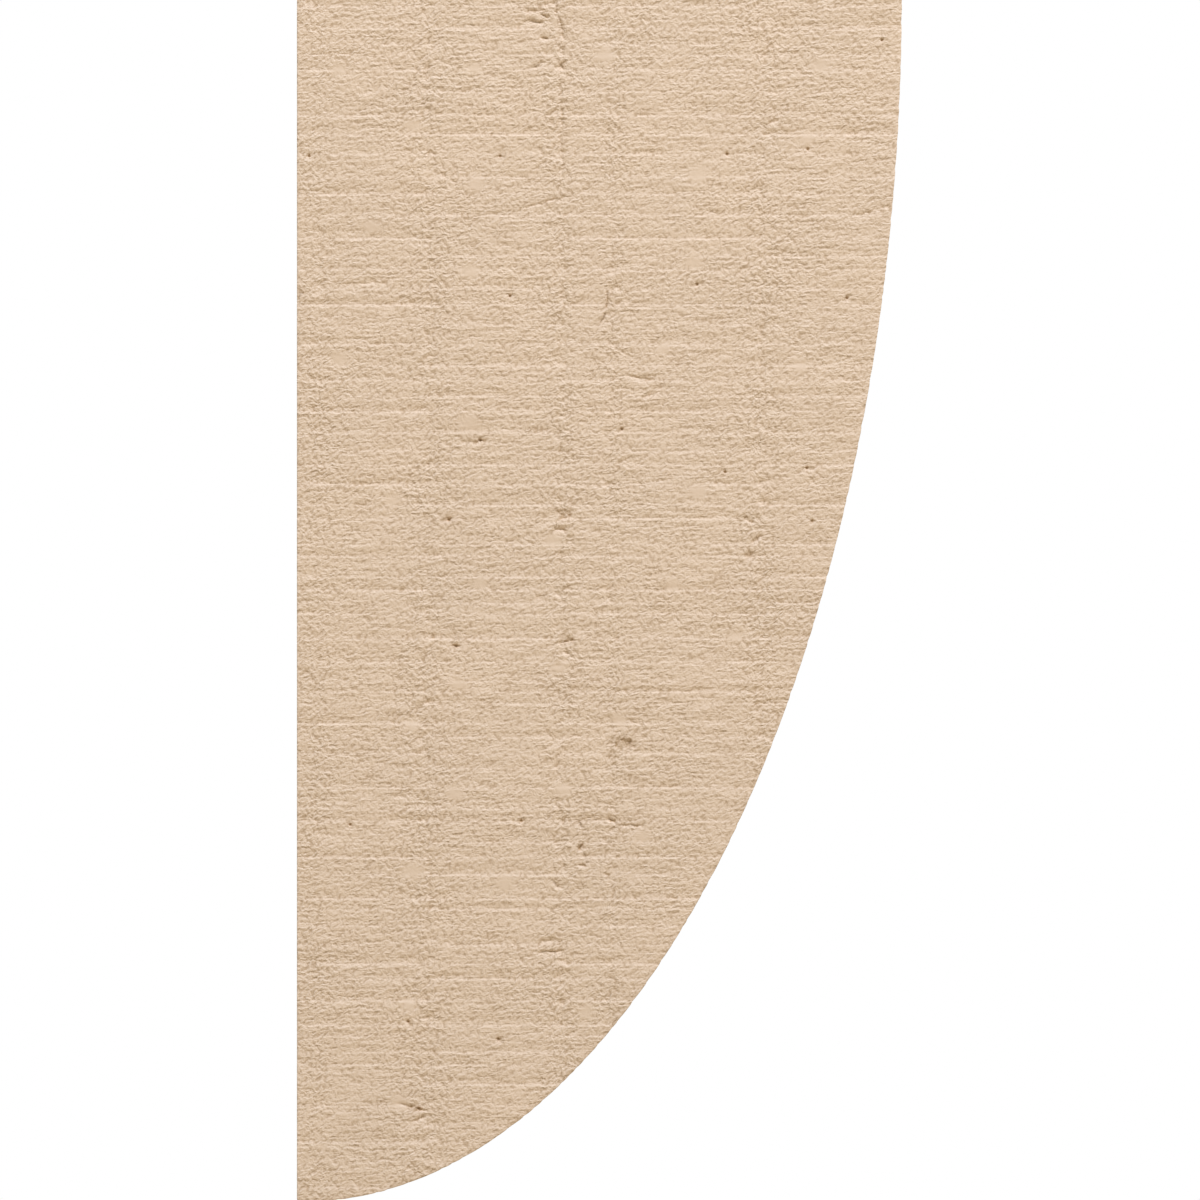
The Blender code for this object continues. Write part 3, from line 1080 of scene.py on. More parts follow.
def ring_points(profile, surfaces, front, settings):
    """Rings of points round the arrises, from the near rim to the far one, with their masks."""
    half = WIDTH / 2
    front_depth = np.zeros(len(profile.points))
    rows = np.array(profile.front_rows)
    rings = []
    for side, sign in (("near", -1), ("far", 1)):
        edge_y = np.full(len(rows), sign * (half - settings.arris))
        front_depth[rows] = front.look(edge_y, profile.runs[rows])[0]
        turns = np.linspace(0, math.pi / 2, ARRIS_STEPS + 1)
        made = []
        rim = profile.points - profile.normals * (front_depth + settings.arris)[:, None]
        depth, masks = surfaces[side].look(rim[:, 0], TOP - rim[:, 1])
        for turn in turns:
            inset = front_depth + settings.arris * (1 - math.sin(turn))
            flat = profile.points - profile.normals * inset[:, None]
            y = sign * (half - depth - settings.arris * (1 - math.cos(turn)))
            facing = math.cos(turn)
            # the painted shade and the line fade out as the arris turns away from the side
            edge = {**masks, "painted_shade": masks["painted_shade"] * facing, "line": masks["line"] * facing}
            made.append((np.column_stack((flat[:, 0], y, flat[:, 1])), edge))
        rings.append(made)
    return rings


def add_rings(shell, profile, rings):
    """Adds the rings' points: for each side, index lists from its rim to its outer edge."""
    ids = []
    for side in rings:
        ids.append([shell.add_points(points, profile.runs, masks) for points, masks in side])
    return ids


def belt_row(shell, profile, row, edges, columns, front=None):
    """Points of one row across the corbel, from its near edge to its far one. A front gives it relief."""
    near_edge, far_edge = edges
    shares = np.linspace(0, 1, columns + 1)[1:-1]
    near = np.array(shell.points[near_edge])
    far = np.array(shell.points[far_edge])
    y = near[1] + shares * (far[1] - near[1])
    depth = np.zeros_like(y)
    masks = {}
    run = profile.runs[row]
    if front:
        depth, masks = front.look(y, np.full_like(y, run))
    flat = profile.points[row] - profile.normals[row] * depth[:, None]
    points = np.column_stack((flat[:, 0], y, flat[:, 1]))
    return [near_edge] + shell.add_points(points, run, masks) + [far_edge]


def build_shell(settings):
    """The whole closed surface of the casting."""
    shell = Shell()
    profile = Profile(settings)
    surfaces = {side: SideSurface(side, settings) for side in SIDE_SEEDS}
    front = FrontSurface(profile.front_run)
    near, far = add_rings(shell, profile, ring_points(profile, surfaces, front, settings))
    count = len(profile.points)
    for index in range(count):
        following = (index + 1) % count
        shell.strip([ring[index] for ring in near], [ring[following] for ring in near], "near")
        shell.strip([ring[index] for ring in far[::-1]], [ring[following] for ring in far[::-1]], "far")
    edges = list(zip(near[-1], far[-1]))
    rows = {}
    for row in profile.front_rows:
        rows[row] = belt_row(shell, profile, row, edges[row], settings.front_columns, front)
    for row in profile.head_rows:
        rows[row] = belt_row(shell, profile, row, edges[row], BACK_COLUMNS)
    for stretch, region in ((profile.front_rows, "front"), (profile.head_rows, "back")):
        for upper, lower in zip(stretch, list(stretch)[1:]):
            shell.strip(rows[upper], rows[lower], region)
    fill_flat(shell, profile.back_rows, near[-1], far[-1], rows, "back")
    fill_flat(shell, profile.top_rows, near[-1], far[-1], rows, "top")
    for side, rings, coarser in (("near", near, 1.0), ("far", far, settings.far_share)):
        fill_side(shell, surfaces[side], rings[0], side, settings, coarser)
    return shell


def flat_pits(region, low, high):
    """Chance pits in a flat face, well apart: (along, across, radius)."""
    chance = random.Random(f"pits {region}")
    pits = []
    while len(pits) < FLAT_PITS[region]:
        a = chance.uniform(low[0] + PIT_MARGIN, high[0] - PIT_MARGIN)
        b = chance.uniform(low[1] + PIT_MARGIN, high[1] - PIT_MARGIN)
        if all(math.hypot(a - other[0], b - other[1]) > PIT_MARGIN for other in pits):
            pits.append((a, b, chance.uniform(*PIT_RADIUS) * chance.uniform(*PIT_SHRINK)))
    return pits


def pit_points(pits):
    """Rings of points that hold each pit: (along, across, depth, painted shade), the painted shade standing
    in for the shade down in the pit.
    """
    points = []
    for a, b, radius in pits:
        for share, deep, count in PIT_RINGS:
            for step in range(count):
                turn = 2 * math.pi * step / count + share
                reach = radius * share * (1 + PIT_LOBE_SIZE * math.sin(PIT_LOBES * turn + a / MM))
                place = (a + reach * math.cos(turn), b + reach * math.sin(turn))
                points.append((*place, deep * radius * PIT_DEPTH, PIT_SHADE * deep))
    return points


def fill_flat(shell, stretch, near_edge, far_edge, rows, region):
    """Triangles over the flat back or top, between two rows across and the two edges."""
    stretch = list(stretch)
    first = rows[stretch[0]]
    last = rows[stretch[-1]]
    near_part = [near_edge[row] for row in stretch]
    far_part = [far_edge[row] for row in stretch]
    loop = near_part + last[1:-1] + far_part[::-1] + first[1:-1][::-1]
    axes = (1, 2) if region == "back" else (1, 0)
    corners = np.array([shell.points[index] for index in loop])
    places = corners[:, axes]
    low = places.min(axis=0)
    high = places.max(axis=0)
    counts = np.round((high - low) / FLAT_STEP).astype(int)
    pits = flat_pits(region, low, high)
    inner = pit_points(pits)
    for i in range(1, counts[0]):
        for j in range(1, counts[1]):
            a, b = low + (high - low) * (i / counts[0], j / counts[1])
            if all(math.hypot(a - pit[0], b - pit[1]) > PIT_MARGIN / 2 for pit in pits):
                inner.append((a, b, 0.0, 0.0))
    inner = np.array(inner)
    inward = 1 if region == "back" else -1
    points = np.zeros((len(inner), 3))
    points[:, axes[0]] = inner[:, 0]
    points[:, axes[1]] = inner[:, 1]
    points[:, 3 - sum(axes)] = corners[0, 3 - sum(axes)] + inward * inner[:, 2]
    # the pits' painted shade, from pit_points
    ids = shell.add_points(points, 0.0, {"painted_shade": inner[:, 3]})
    shell.fill(loop, places, ids, inner[:, :2], 1.0, region, True)


def fill_side(shell, surface, rim, side, settings, coarser):
    """Triangles over a sawn side, inside its rim."""
    corners = np.array([shell.points[index] for index in rim])
    places = corners[:, (0, 2)]
    row_step = settings.row_step * coarser
    column_step = settings.column_step * coarser
    inner = side_grid(surface, places, row_step, column_step)
    depth, masks = surface.look(inner[:, 0], inner[:, 1])
    sign = -1 if side == "near" else 1
    z = TOP - inner[:, 1]
    points = np.column_stack((inner[:, 0], sign * (WIDTH / 2 - depth), z))
    ids = shell.add_points(points, 0.0, masks)
    flat = np.column_stack((inner[:, 0], z))
    shell.fill(rim, places, ids, flat, row_step / column_step, side, side == "far")


def run_places(shell, corner_points, corner_regions):
    """Distances along and down each face, at every face corner, for the grain to follow.

    Each region reads another part of the noise, so that no two faces have the same grain.
    """
    points = np.array(shell.points)[corner_points]
    runs = np.array(shell.runs)[corner_points]
    down = TOP - points[:, 2]
    places = np.column_stack((points[:, 0], down))
    by_region = {
        "far": (points[:, 0], down),
        "front": (points[:, 1], runs),
        "top": (points[:, 1], points[:, 0]),
        "back": (points[:, 1], down),
    }
    for number, (region, (along, across)) in enumerate(by_region.items(), start=1):
        chosen = corner_regions == Shell.REGIONS.index(region)
        places[chosen, 0] = along[chosen] + number * REGION_APART
        places[chosen, 1] = across[chosen]
    return places


def casting_mesh(settings):
    """The casting as a mesh, with the map and masks that its materials read."""
    shell = build_shell(settings)
    mesh = bpy.data.meshes.new("corbel_casting")
    mesh.from_pydata(shell.points, [], shell.faces)
    regions = np.array(shell.regions)
    sawn_regions = Shell.REGIONS.index("front")
    mesh.polygons.foreach_set("material_index", np.maximum(regions - sawn_regions, 0))
    mesh.shade_smooth()
    corner_points = np.empty(len(mesh.loops), int)
    mesh.loops.foreach_get("vertex_index", corner_points)
    totals = np.empty(len(mesh.polygons), int)
    mesh.polygons.foreach_get("loop_total", totals)
    corner_regions = np.repeat(regions, totals)
    layer = mesh.uv_layers.new(name="surface_run")
    layer.uv.foreach_set("vector", run_places(shell, corner_points, corner_regions).ravel())
    for name, values in shell.masks.items():
        mesh.attributes.new(name, "FLOAT", "POINT").data.foreach_set("value", values)
    mark_flat_rims(mesh, regions, corner_points, totals)
    mesh.update()
    if mesh.validate():
        raise RuntimeError("the casting's mesh has faulty faces")
    return mesh


def mark_flat_rims(mesh, regions, corner_points, totals):
    """Sharp edges round the flat top and back, so that they shade flat."""
    flat_face = regions >= Shell.REGIONS.index("top")
    corner_flat = np.repeat(flat_face, totals)
    in_flat = np.zeros(len(mesh.vertices), bool)
    in_curved = np.zeros(len(mesh.vertices), bool)
    in_flat[corner_points[corner_flat]] = True
    in_curved[corner_points[~corner_flat]] = True
    both = in_flat & in_curved
    ends = np.empty(2 * len(mesh.edges), int)
    mesh.edges.foreach_get("vertices", ends)
    sharp = both[ends.reshape(-1, 2)].all(axis=1)
    mesh.attributes.new("sharp_edge", "BOOLEAN", "EDGE").data.foreach_set("value", sharp)


def socket_kind(value):
    """The kind of group socket that a usual value calls for: a place has none."""
    if value is None:
        return "NodeSocketVector"
    return "NodeSocketColor" if isinstance(value, tuple) else "NodeSocketFloat"


def new_group(name, inputs, outputs):
    """An empty node group, with the usual value of each named input and output."""
    group = bpy.data.node_groups.new(name, "ShaderNodeTree")
    for label, usual in inputs.items():
        socket = group.interface.new_socket(label, in_out="INPUT", socket_type=socket_kind(usual))
        if usual is not None:
            socket.default_value = usual
    for label, usual in outputs.items():
        group.interface.new_socket(label, in_out="OUTPUT", socket_type=socket_kind(usual))
    return group, group.nodes.new("NodeGroupInput").outputs, group.nodes.new("NodeGroupOutput").inputs


def feed(tree, socket, value):
    """Links a socket to another, or gives it a plain value."""
    if isinstance(value, bpy.types.NodeSocket):
        tree.links.new(value, socket)
    else:
        socket.default_value = value


def maths(tree, operation, first, second=None, third=None, clamp=False):
    """A Math node's result."""
    node = tree.nodes.new("ShaderNodeMath")
    node.operation = operation
    node.use_clamp = clamp
    for socket, value in zip(node.inputs, (first, second, third)):
        if value is not None:
            feed(tree, socket, value)
    return node.outputs[0]


def vector_maths(tree, operation, first, second):
    """A Vector Math node's vector."""
    node = tree.nodes.new("ShaderNodeVectorMath")
    node.operation = operation
    feed(tree, node.inputs[0], first)
    feed(tree, node.inputs["Scale"] if operation == "SCALE" else node.inputs[1], second)
    return node.outputs[0]


def noise(tree, place, scale=1.0, detail=1.0):
    """A flat noise texture: its value and its colour."""
    node = tree.nodes.new("ShaderNodeTexNoise")
    node.noise_dimensions = "2D"
    feed(tree, node.inputs["Vector"], place)
    feed(tree, node.inputs["Scale"], scale)
    feed(tree, node.inputs["Detail"], detail)
    return node.outputs["Fac"], node.outputs["Color"]


def remap(tree, value, from_low, from_high, to_low, to_high):
    """A smooth Map Range of a value."""
    node = tree.nodes.new("ShaderNodeMapRange")
    node.interpolation_type = "SMOOTHSTEP"
    for socket, given in zip(node.inputs, (value, from_low, from_high, to_low, to_high)):
        feed(tree, socket, given)
    return node.outputs[0]


def blend(tree, share, first, second):
    """A mix of two colours."""
    node = tree.nodes.new("ShaderNodeMix")
    node.data_type = "RGBA"
    feed(tree, node.inputs[0], share)
    feed(tree, node.inputs[6], first)
    feed(tree, node.inputs[7], second)
    return node.outputs[2]


def stretched(tree, place, along, across):
    """A place measured in units of two lengths, along and across the streaks."""
    scale = tree.nodes.new("ShaderNodeCombineXYZ")
    feed(tree, scale.inputs[0], along)
    feed(tree, scale.inputs[1], across)
    scale.inputs[2].default_value = 1.0
    return vector_maths(tree, "DIVIDE", place, scale.outputs[0])


def turned(tree, place, degrees):
    """A place turned in its plane, so that what follows it rises to the right."""
    node = tree.nodes.new("ShaderNodeMapping")
    node.inputs["Rotation"].default_value = (0.0, 0.0, math.radians(degrees))
    feed(tree, node.inputs["Vector"], place)
    return node.outputs[0]


def grain_group():
    """Crumbs and level streaks of a sawn face: a height in metres, and how much painted shade each point
    gets in the grain's low places.
    """
    group, given, made = new_group(
        "Sawn grain",
        {
            "Place": None,
            "Grain Size": 1.65 * MM,
            "Grain Height": 0.64 * MM,
            "Streak Length": 15 * MM,
            "Streak Share": 0.5,
            "Combed": 0.5,
            "Amount": 1.0,
        },
        {"Height": 0.0, "Painted Shade": 0.0},
    )
    _, push = noise(group, given["Place"], PUSH_SCALE)
    push = vector_maths(group, "SUBTRACT", push, (0.5, 0.5, 0.5))
    push = vector_maths(group, "SCALE", push, PUSH_REACH)
    pushed = vector_maths(group, "ADD", given["Place"], push)
    wide = maths(group, "MULTIPLY", given["Grain Size"], CRUMB_WIDTH)
    crumb_place = stretched(group, turned(group, pushed, CRUMB_TURN), wide, given["Grain Size"])
    streak_place = turned(group, pushed, STREAK_TURN)
    streak_place = stretched(group, streak_place, given["Streak Length"], given["Grain Size"])
    crumb = maths(group, "SUBTRACT", noise(group, crumb_place)[0], 0.5)
    streak = maths(group, "SUBTRACT", noise(group, streak_place)[0], 0.5)
    crumb = maths(group, "MULTIPLY", crumb, maths(group, "MULTIPLY_ADD", given["Combed"], *COMBED_CRUMB))
    streak = maths(group, "MULTIPLY", streak, maths(group, "MULTIPLY_ADD", given["Combed"], *COMBED_STREAK))
    total = maths(group, "MULTIPLY_ADD", streak, given["Streak Share"], crumb)
    patch, _ = noise(group, given["Place"], PATCH_SCALE)
    total = maths(group, "MULTIPLY", total, remap(group, patch, *PATCH_RANGE, *PATCH_GRAIN))
    amount = maths(group, "MULTIPLY", total, given["Amount"])
    feed(group, made["Height"], maths(group, "MULTIPLY", amount, given["Grain Height"]))
    # Painted shade in the grain's low places, which the bump alone doesn't shade
    feed(group, made["Painted Shade"], remap(group, amount, *PAINTED_SHADE_RANGE, 0.0, 1.0))
    return group


def line_group():
    """The crisp edge of a saw mark: a narrow groove, and the ledge that steps out below it, with painted
    shade in the groove.
    """
    group, given, made = new_group(
        "Saw line",
        {"Gap": 0.0, "Line": 0.0, "Ledge Height": 0.12 * MM, "Groove Depth": 0.06 * MM},
        {"Height": 0.0, "Painted Shade": 0.0},
    )
    groove_start, ledge_start, ledge_end = LINE_PLACES
    ledge = remap(group, given["Gap"], ledge_start, ledge_end, 0.0, 1.0)
    groove = remap(group, given["Gap"], groove_start, ledge_start, 0.0, 1.0)
    height = maths(group, "MULTIPLY", ledge, given["Ledge Height"])
    drop = maths(group, "MULTIPLY", groove, given["Groove Depth"])
    height = maths(group, "SUBTRACT", height, drop)
    feed(group, made["Height"], maths(group, "MULTIPLY", height, given["Line"]))
    # Painted shade in the groove over the ledge
    inside = maths(group, "SUBTRACT", groove, ledge)
    feed(group, made["Painted Shade"], maths(group, "MULTIPLY", inside, given["Line"]))
    return group


def bubble_group():
    """Fine air bubbles of a face that was poured open: a height in metres, and how much painted shade each
    point gets inside a bubble.
    """
    group, given, made = new_group(
        "Air bubbles",
        {"Place": None, "Spacing": 8 * MM, "Radius": 0.8 * MM, "Share": 0.4},
        {"Height": 0.0, "Painted Shade": 0.0},
    )
    cells = group.nodes.new("ShaderNodeTexVoronoi")
    cells.voronoi_dimensions = "2D"
    feed(group, cells.inputs["Vector"], given["Place"])
    feed(group, cells.inputs["Scale"], maths(group, "DIVIDE", 1.0, given["Spacing"]))
    chance = group.nodes.new("ShaderNodeSeparateColor")
    feed(group, chance.inputs[0], cells.outputs["Color"])
    gap = maths(group, "MULTIPLY", cells.outputs["Distance"], given["Spacing"])
    share = remap(group, chance.outputs[1], 0.0, 1.0, BUBBLE_LEAST, 1.0)
    radius = maths(group, "MULTIPLY", given["Radius"], share)
    inside = remap(group, maths(group, "DIVIDE", gap, radius), 1.0, BUBBLE_FLOOR, 0.0, 1.0)
    inside = maths(group, "MULTIPLY", inside, maths(group, "LESS_THAN", chance.outputs[0], given["Share"]))
    drop = maths(group, "MULTIPLY", maths(group, "MULTIPLY", inside, radius), -BUBBLE_DEPTH)
    feed(group, made["Height"], drop)
    feed(group, made["Painted Shade"], inside)
    return group


def colour_and_painted_light_group():
    """The primer's colour with painted light: painted shade, darker and warmer, in creases, pits and the
    grain's low places, a painted highlight, paler, on grain that faces up, and a little uneven elsewhere.
    """
    group, given, made = new_group(
        "Primer colour and painted light",
        {
            "Place": None,
            "Facing Up": 0.5,
            "Coat": (0.8, 0.6, 0.4, 1.0),
            "Painted Highlight Coat": (0.8, 0.7, 0.5, 1.0),
            "Painted Shade Coat": (0.4, 0.3, 0.2, 1.0),
            "Painted Shade": 0.0,
            "Unevenness": 0.06,
        },
        {"Color": (0.8, 0.6, 0.4, 1.0), "Roughness": 0.7},
    )
    cloud, _ = noise(group, given["Place"], CLOUD_SCALE, CLOUD_DETAIL)
    cloud = maths(group, "SUBTRACT", cloud, 0.5)
    bright = maths(group, "MULTIPLY_ADD", cloud, given["Unevenness"], 1.0)
    # Painted highlight: grain that faces up turns to the paler coat, standing in for the light from above
    painted_highlight = remap(group, given["Facing Up"], -PAINTED_HIGHLIGHT_TILT, PAINTED_HIGHLIGHT_TILT, 0.0, 1.0)
    coat = blend(group, painted_highlight, given["Coat"], given["Painted Highlight Coat"])
    coat = vector_maths(group, "SCALE", coat, bright)
    # Painted shade: the low places turn to the darker, warmer painted shade colour
    feed(group, made["Color"], blend(group, given["Painted Shade"], coat, given["Painted Shade Coat"]))
    rough = maths(group, "MULTIPLY_ADD", cloud, ROUGHNESS_UNEVEN, USUAL_ROUGHNESS)
    rough = maths(group, "MULTIPLY_ADD", given["Painted Shade"], PAINTED_SHADE_ROUGHNESS, rough)
    feed(group, made["Roughness"], rough)
    return group


def use_group(tree, group, values):
    """A group placed in a material, with its own values."""
    node = tree.nodes.new("ShaderNodeGroup")
    node.node_tree = group
    for name, value in values.items():
        feed(tree, node.inputs[name], value)
    return node.outputs


def attribute(tree, name):
    """A mask that the mesh holds."""
    node = tree.nodes.new("ShaderNodeAttribute")
    node.attribute_name = name
    return node.outputs["Fac"]


def facing_up(tree, normal):
    """How far a surface faces up: 1 straight up, 0 upright and -1 straight down."""
    node = tree.nodes.new("ShaderNodeVectorMath")
    node.operation = "DOT_PRODUCT"
    feed(tree, node.inputs[0], normal)
    node.inputs[1].default_value = (0.0, 0.0, 1.0)
    return node.outputs["Value"]


def primer_material(name, settings, groups, values):
    """The tan primer over one kind of face, with that face's own grain."""
    material = bpy.data.materials.new(name)
    material.use_nodes = True
    tree = material.node_tree
    shader = tree.nodes["Principled BSDF"]
    place = tree.nodes.new("ShaderNodeUVMap")
    place.uv_map = "surface_run"
    amount = maths(tree, "MULTIPLY", attribute(tree, "grain"), values["amount"])
    grain = use_group(
        tree,
        groups["grain"],
        {
            "Place": place.outputs[0],
            "Grain Size": values["grain_size"],
            "Grain Height": settings.grain_height,
            "Streak Length": values["streak_length"],
            "Streak Share": values["streak_share"],
            "Combed": attribute(tree, "combed"),
            "Amount": amount,
        },
    )
    line = use_group(
        tree,
        groups["line"],
        {
            "Gap": attribute(tree, "gap"),
            "Line": attribute(tree, "line"),
            "Ledge Height": settings.ledge_edge,
            "Groove Depth": GROOVE_SHARE * settings.ledge_edge,
        },
    )
    height = maths(tree, "ADD", grain["Height"], line["Height"])
    # Painted shade from the grain's low places, the bubbles and the groove over each ledge, added to the
    # mesh's painted shade
    shade = maths(tree, "MULTIPLY", grain["Painted Shade"], values["painted_shade_share"])
    if values["bubbles"]:
        given = {"Place": place.outputs[0], "Share": values["bubbles"]}
        bubbles = use_group(tree, groups["bubbles"], given)
        height = maths(tree, "ADD", height, bubbles["Height"])
        shade = maths(tree, "MULTIPLY_ADD", bubbles["Painted Shade"], BUBBLE_SHADE, shade)
    shade = maths(tree, "MULTIPLY_ADD", line["Painted Shade"], LINE_SHADE, shade)
    painted_shade = maths(tree, "ADD", shade, attribute(tree, "painted_shade"), clamp=True)
    coat = np.array(settings.coat)
    # This face's painted highlight coat, a paler coat for grain that faces up
    painted_highlight_coat = coat + values["painted_highlight"] * (np.array(settings.painted_highlight_coat) - coat)
    bump = tree.nodes.new("ShaderNodeBump")
    bump.inputs["Distance"].default_value = 1.0
    feed(tree, bump.inputs["Height"], height)
    colour_and_painted_light = use_group(
        tree,
        groups["colour_and_painted_light"],
        {
            "Place": place.outputs[0],
            "Facing Up": facing_up(tree, bump.outputs[0]),
            "Coat": (*values["painted_dimming"] * coat, 1.0),
            "Painted Highlight Coat": (*values["painted_dimming"] * painted_highlight_coat, 1.0),
            "Painted Shade Coat": (*settings.painted_shade, 1.0),
            "Painted Shade": painted_shade,
        },
    )
    shader.inputs["Specular IOR Level"].default_value = values["shine"]
    feed(tree, shader.inputs["Base Color"], colour_and_painted_light["Color"])
    feed(tree, shader.inputs["Roughness"], colour_and_painted_light["Roughness"])
    feed(tree, shader.inputs["Normal"], bump.outputs[0])
    return material


def finishes(primer):
    """The grain and coat of each kind of face.

    Streak share is the height of the streaks and amount that of all the grain, as shares of the
    crumbs' height. Bubbles is the share of places that have one. Painted dimming is how light the coat
    is, and painted highlight how much of the paler painted highlight coat it gets on grain that faces
    up, as shares of the sawn faces'. The top's coat is painted dimmer, with less painted highlight, as
    painted shade against the strong key light that falls on the top.
    """
    sawn = {
        "grain_size": primer.grain_size,
        "streak_length": primer.streak_length,
        "streak_share": 0.55,
        "amount": 1.0,
        "painted_shade_share": 0.55,
        "bubbles": 0.0,
        "painted_dimming": 1.0,
        "painted_highlight": 1.0,
        "shine": 0.5,
    }
    back = {
        **sawn,
        "grain_size": 0.9 * primer.grain_size,
        "streak_length": 4.5 * primer.streak_length,
        "streak_share": 1.4,
        "amount": 0.34,
        "painted_shade_share": 0.5,
        "bubbles": 0.35,
        "shine": 0.2,
    }
    # Painted shade: the top's coat is dimmer and less pale than the sawn faces', as the key light falls
    # strongly on it
    top = {**back, "painted_dimming": 0.70, "painted_highlight": 0.35}
    return {"sawn": sawn, "top": top, "back": back}


class CORBEL_OT_casting(bpy.types.Operator):
    """Build the sawn casting that stands for the solid corbel"""

    bl_idname = "corbel.casting"
    bl_label = "Casting"

    def execute(self, context):
        """Makes the mesh and its materials, and tells the frame what they stand for."""
        scene = context.scene
        mesh = casting_mesh(scene.corbel_casting)
        groups = {
            "grain": grain_group(),
            "line": line_group(),
            "bubbles": bubble_group(),
            "colour_and_painted_light": colour_and_painted_light_group(),
        }
        primer = scene.corbel_primer
        for name, values in finishes(primer).items():
            mesh.materials.append(primer_material(f"tan primer, {name}", primer, groups, values))
        casting = bpy.data.objects.new("corbel_casting", mesh)
        scene.collection.objects.link(casting)
        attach(casting, BODY)
        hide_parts(NODE)
        return {"FINISHED"}


def aim(item, target):
    """Turns a light or the camera towards a point."""
    item.rotation_euler = (Vector(target) - item.location).to_track_quat("-Z", "Y").to_euler()


def add_area_light(scene, name, place, target, size, power, colour):
    """A square soft light, aimed at a point."""
    data = bpy.data.lights.new(name, "AREA")
    data.size = size
    data.energy = power
    data.color = colour
    light = bpy.data.objects.new(name, data)
    scene.collection.objects.link(light)
    light.location = place
    aim(light, target)


def white_world(scene, ambient):
    """A white backdrop that gives less light than it shows, and more of it from below than from above."""
    world = bpy.data.worlds.new("white studio")
    world.use_nodes = True
    scene.world = world
    tree = world.node_tree
    shown = tree.nodes["Background"]
    shown.inputs["Color"].default_value = WHITE
    lit = tree.nodes.new("ShaderNodeBackground")
    place = tree.nodes.new("ShaderNodeTexCoord")
    height = tree.nodes.new("ShaderNodeSeparateXYZ")
    feed(tree, height.inputs[0], place.outputs["Generated"])
    feed(tree, lit.inputs["Color"], (*ambient, 1.0))
    feed(tree, lit.inputs["Strength"], remap(tree, height.outputs["Z"], -1.0, 1.0, *AMBIENT_RANGE))
    rays = tree.nodes.new("ShaderNodeLightPath")
    mix = tree.nodes.new("ShaderNodeMixShader")
    tree.links.new(rays.outputs["Is Camera Ray"], mix.inputs[0])
    tree.links.new(lit.outputs[0], mix.inputs[1])
    tree.links.new(shown.outputs[0], mix.inputs[2])
    tree.links.new(mix.outputs[0], tree.nodes["World Output"].inputs["Surface"])


def floor_material(radius):
    """A pale floor that turns to plain white at its rim and isn't there from below."""
    material = bpy.data.materials.new("pale floor")
    material.use_nodes = True
    tree = material.node_tree
    shader = tree.nodes["Principled BSDF"]
    place = tree.nodes.new("ShaderNodeTexCoord")
    away = tree.nodes.new("ShaderNodeVectorMath")
    away.operation = "LENGTH"
    feed(tree, away.inputs[0], place.outputs["Object"])
    start, end = FLOOR_RIM
    rim = remap(tree, away.outputs["Value"], start * radius, end * radius, 0.0, 1.0)
    feed(tree, shader.inputs["Base Color"], blend(tree, rim, FLOOR_COLOUR, BLACK))
    feed(tree, shader.inputs["Emission Color"], blend(tree, rim, FLOOR_GLOW, WHITE))
    shader.inputs["Emission Strength"].default_value = 1.0
    shader.inputs["Roughness"].default_value = 0.9
    shader.inputs["Specular IOR Level"].default_value = 0.0
    clear = tree.nodes.new("ShaderNodeBsdfTransparent")
    side = tree.nodes.new("ShaderNodeNewGeometry")
    mix = tree.nodes.new("ShaderNodeMixShader")
    tree.links.new(side.outputs["Backfacing"], mix.inputs[0])
    tree.links.new(shader.outputs[0], mix.inputs[1])
    tree.links.new(clear.outputs[0], mix.inputs[2])
    tree.links.new(mix.outputs[0], tree.nodes["Material Output"].inputs["Surface"])
    return material


def add_floor(scene, drop):
    """A round pale floor under the corbel, small enough to stay below the photograph's view."""
    points = [(x, y, 0.0) for x, y in ring_of_points(0.0, 0.0, FLOOR_RADIUS, FLOOR_STEPS)]
    mesh = bpy.data.meshes.new("floor")
    mesh.from_pydata(points, [], [tuple(range(FLOOR_STEPS))])
    mesh.materials.append(floor_material(FLOOR_RADIUS))
    floor = bpy.data.objects.new("floor", mesh)
    floor.location = (PROJECTION / 2, 0.0, TOP - HEIGHT - drop)
    floor.visible_diffuse = False
    scene.collection.objects.link(floor)


def add_camera(scene, lens):
    """The camera square to the near side, framed as the photograph is."""
    scale = PROJECTION / PHOTO_PROJECTION
    data = bpy.data.cameras.new("camera")
    data.lens = lens
    data.sensor_width = SENSOR_WIDTH
    away = PHOTO_SIDE * scale * lens / data.sensor_width
    middle_x = (PHOTO_SIDE / 2 - PHOTO_WALL) * scale
    middle_z = TOP - (PHOTO_SIDE / 2 - PHOTO_TOP) * scale
    camera = bpy.data.objects.new("camera", data)
    scene.collection.objects.link(camera)
    camera.location = (middle_x, -WIDTH / 2 - away, middle_z)
    aim(camera, (middle_x, 0.0, middle_z))
    scene.camera = camera


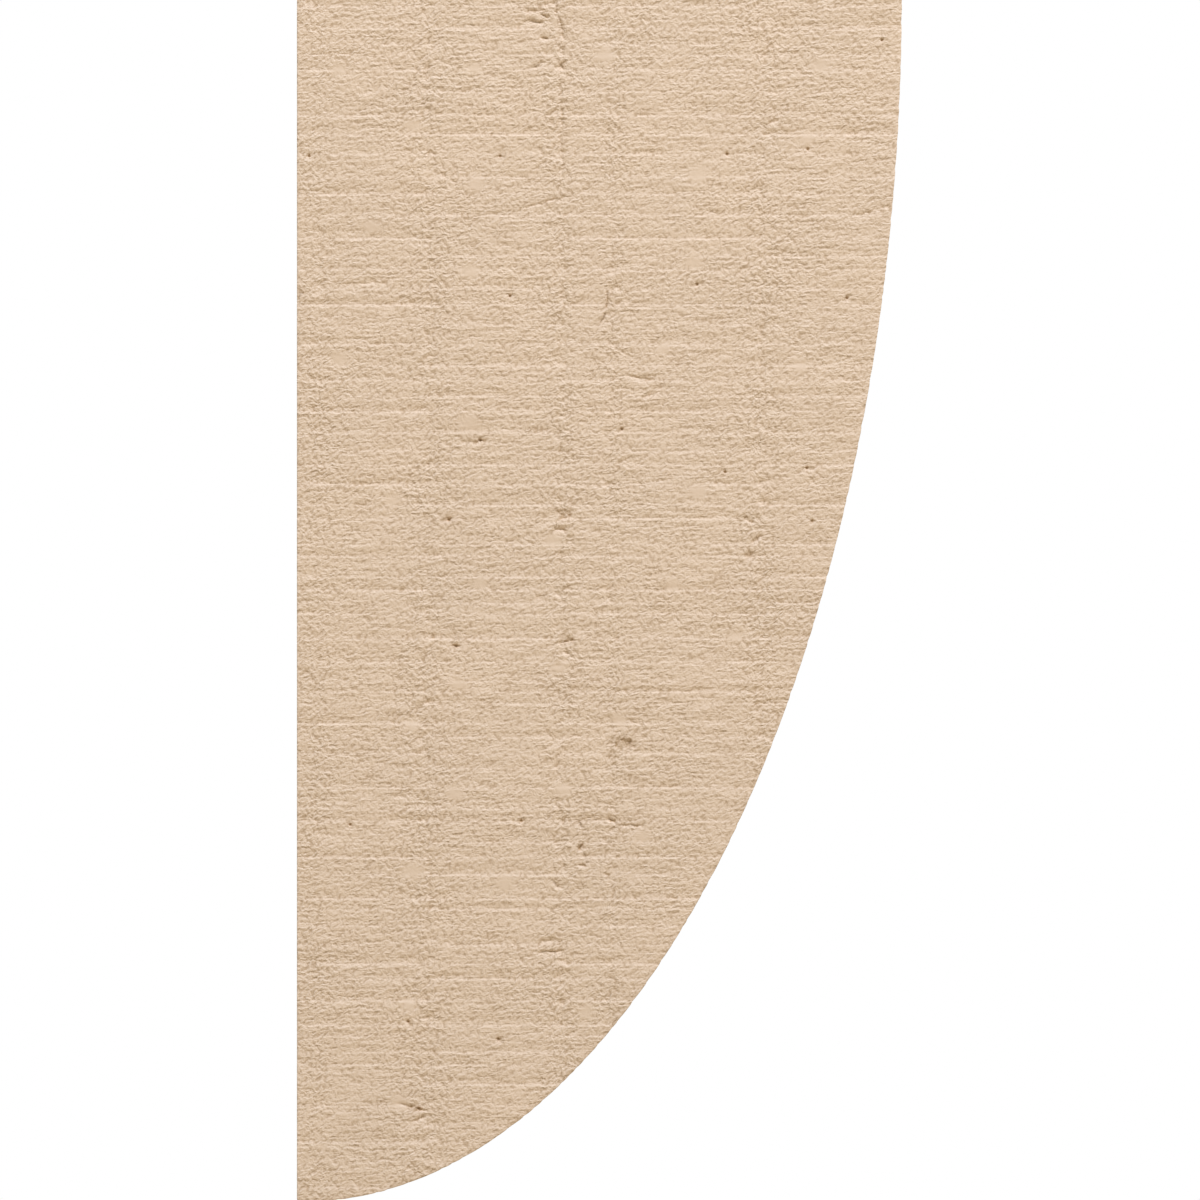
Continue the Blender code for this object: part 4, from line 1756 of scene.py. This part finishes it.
class CORBEL_OT_studio(bpy.types.Operator):
    """Set up the floor, the lights and the camera"""

    bl_idname = "corbel.studio"
    bl_label = "Studio"

    def execute(self, context):
        """Adds what the casting is shown in."""
        scene = context.scene
        studio = scene.corbel_studio
        white_world(scene, studio.ambient)
        scene.view_settings.view_transform = "Standard"
        middle = (PROJECTION / 2, 0.0, TOP - HEIGHT / 2)
        add_floor(scene, studio.floor_drop)
        powers = {"key": studio.key_power, "back": studio.back_power, "front": studio.front_power}
        for name, (place, colour) in LIGHTS.items():
            add_area_light(scene, name, place, middle, LIGHT_SIZE, powers[name], colour)
        add_camera(scene, studio.lens)
        return {"FINISHED"}


class CORBEL_PT_panel(bpy.types.Panel):
    """The corbel's settings and operators"""

    bl_label = "Rough Sawn Corbel"
    bl_idname = "CORBEL_PT_panel"
    bl_space_type = "VIEW_3D"
    bl_region_type = "UI"
    bl_category = "Corbel"

    def draw(self, context):
        """Shows every setting, then the two operators."""
        layout = self.layout
        for group in SETTINGS:
            settings = getattr(context.scene, group)
            box = layout.box()
            for name in settings.__annotations__:
                box.prop(settings, name)
        layout.operator(CORBEL_OT_casting.bl_idname)
        layout.operator(CORBEL_OT_studio.bl_idname)


SETTINGS = {
    "corbel_casting": CastingSettings,
    "corbel_primer": PrimerSettings,
    "corbel_studio": StudioSettings,
}
OPERATORS = (CORBEL_OT_casting, CORBEL_OT_studio)


def register():
    """Registers the settings, operators and panel."""
    for name, settings in SETTINGS.items():
        bpy.utils.register_class(settings)
        setattr(bpy.types.Scene, name, bpy.props.PointerProperty(type=settings))
    for operator in OPERATORS:
        bpy.utils.register_class(operator)
    bpy.utils.register_class(CORBEL_PT_panel)


def unregister():
    """Removes what register added."""
    bpy.utils.unregister_class(CORBEL_PT_panel)
    for operator in OPERATORS[::-1]:
        bpy.utils.unregister_class(operator)
    for name, settings in SETTINGS.items():
        delattr(bpy.types.Scene, name)
        bpy.utils.unregister_class(settings)


def main():
    """Builds everything."""
    register()
    bpy.ops.corbel.casting()
    bpy.ops.corbel.studio()


if __name__ == "__main__":
    main()
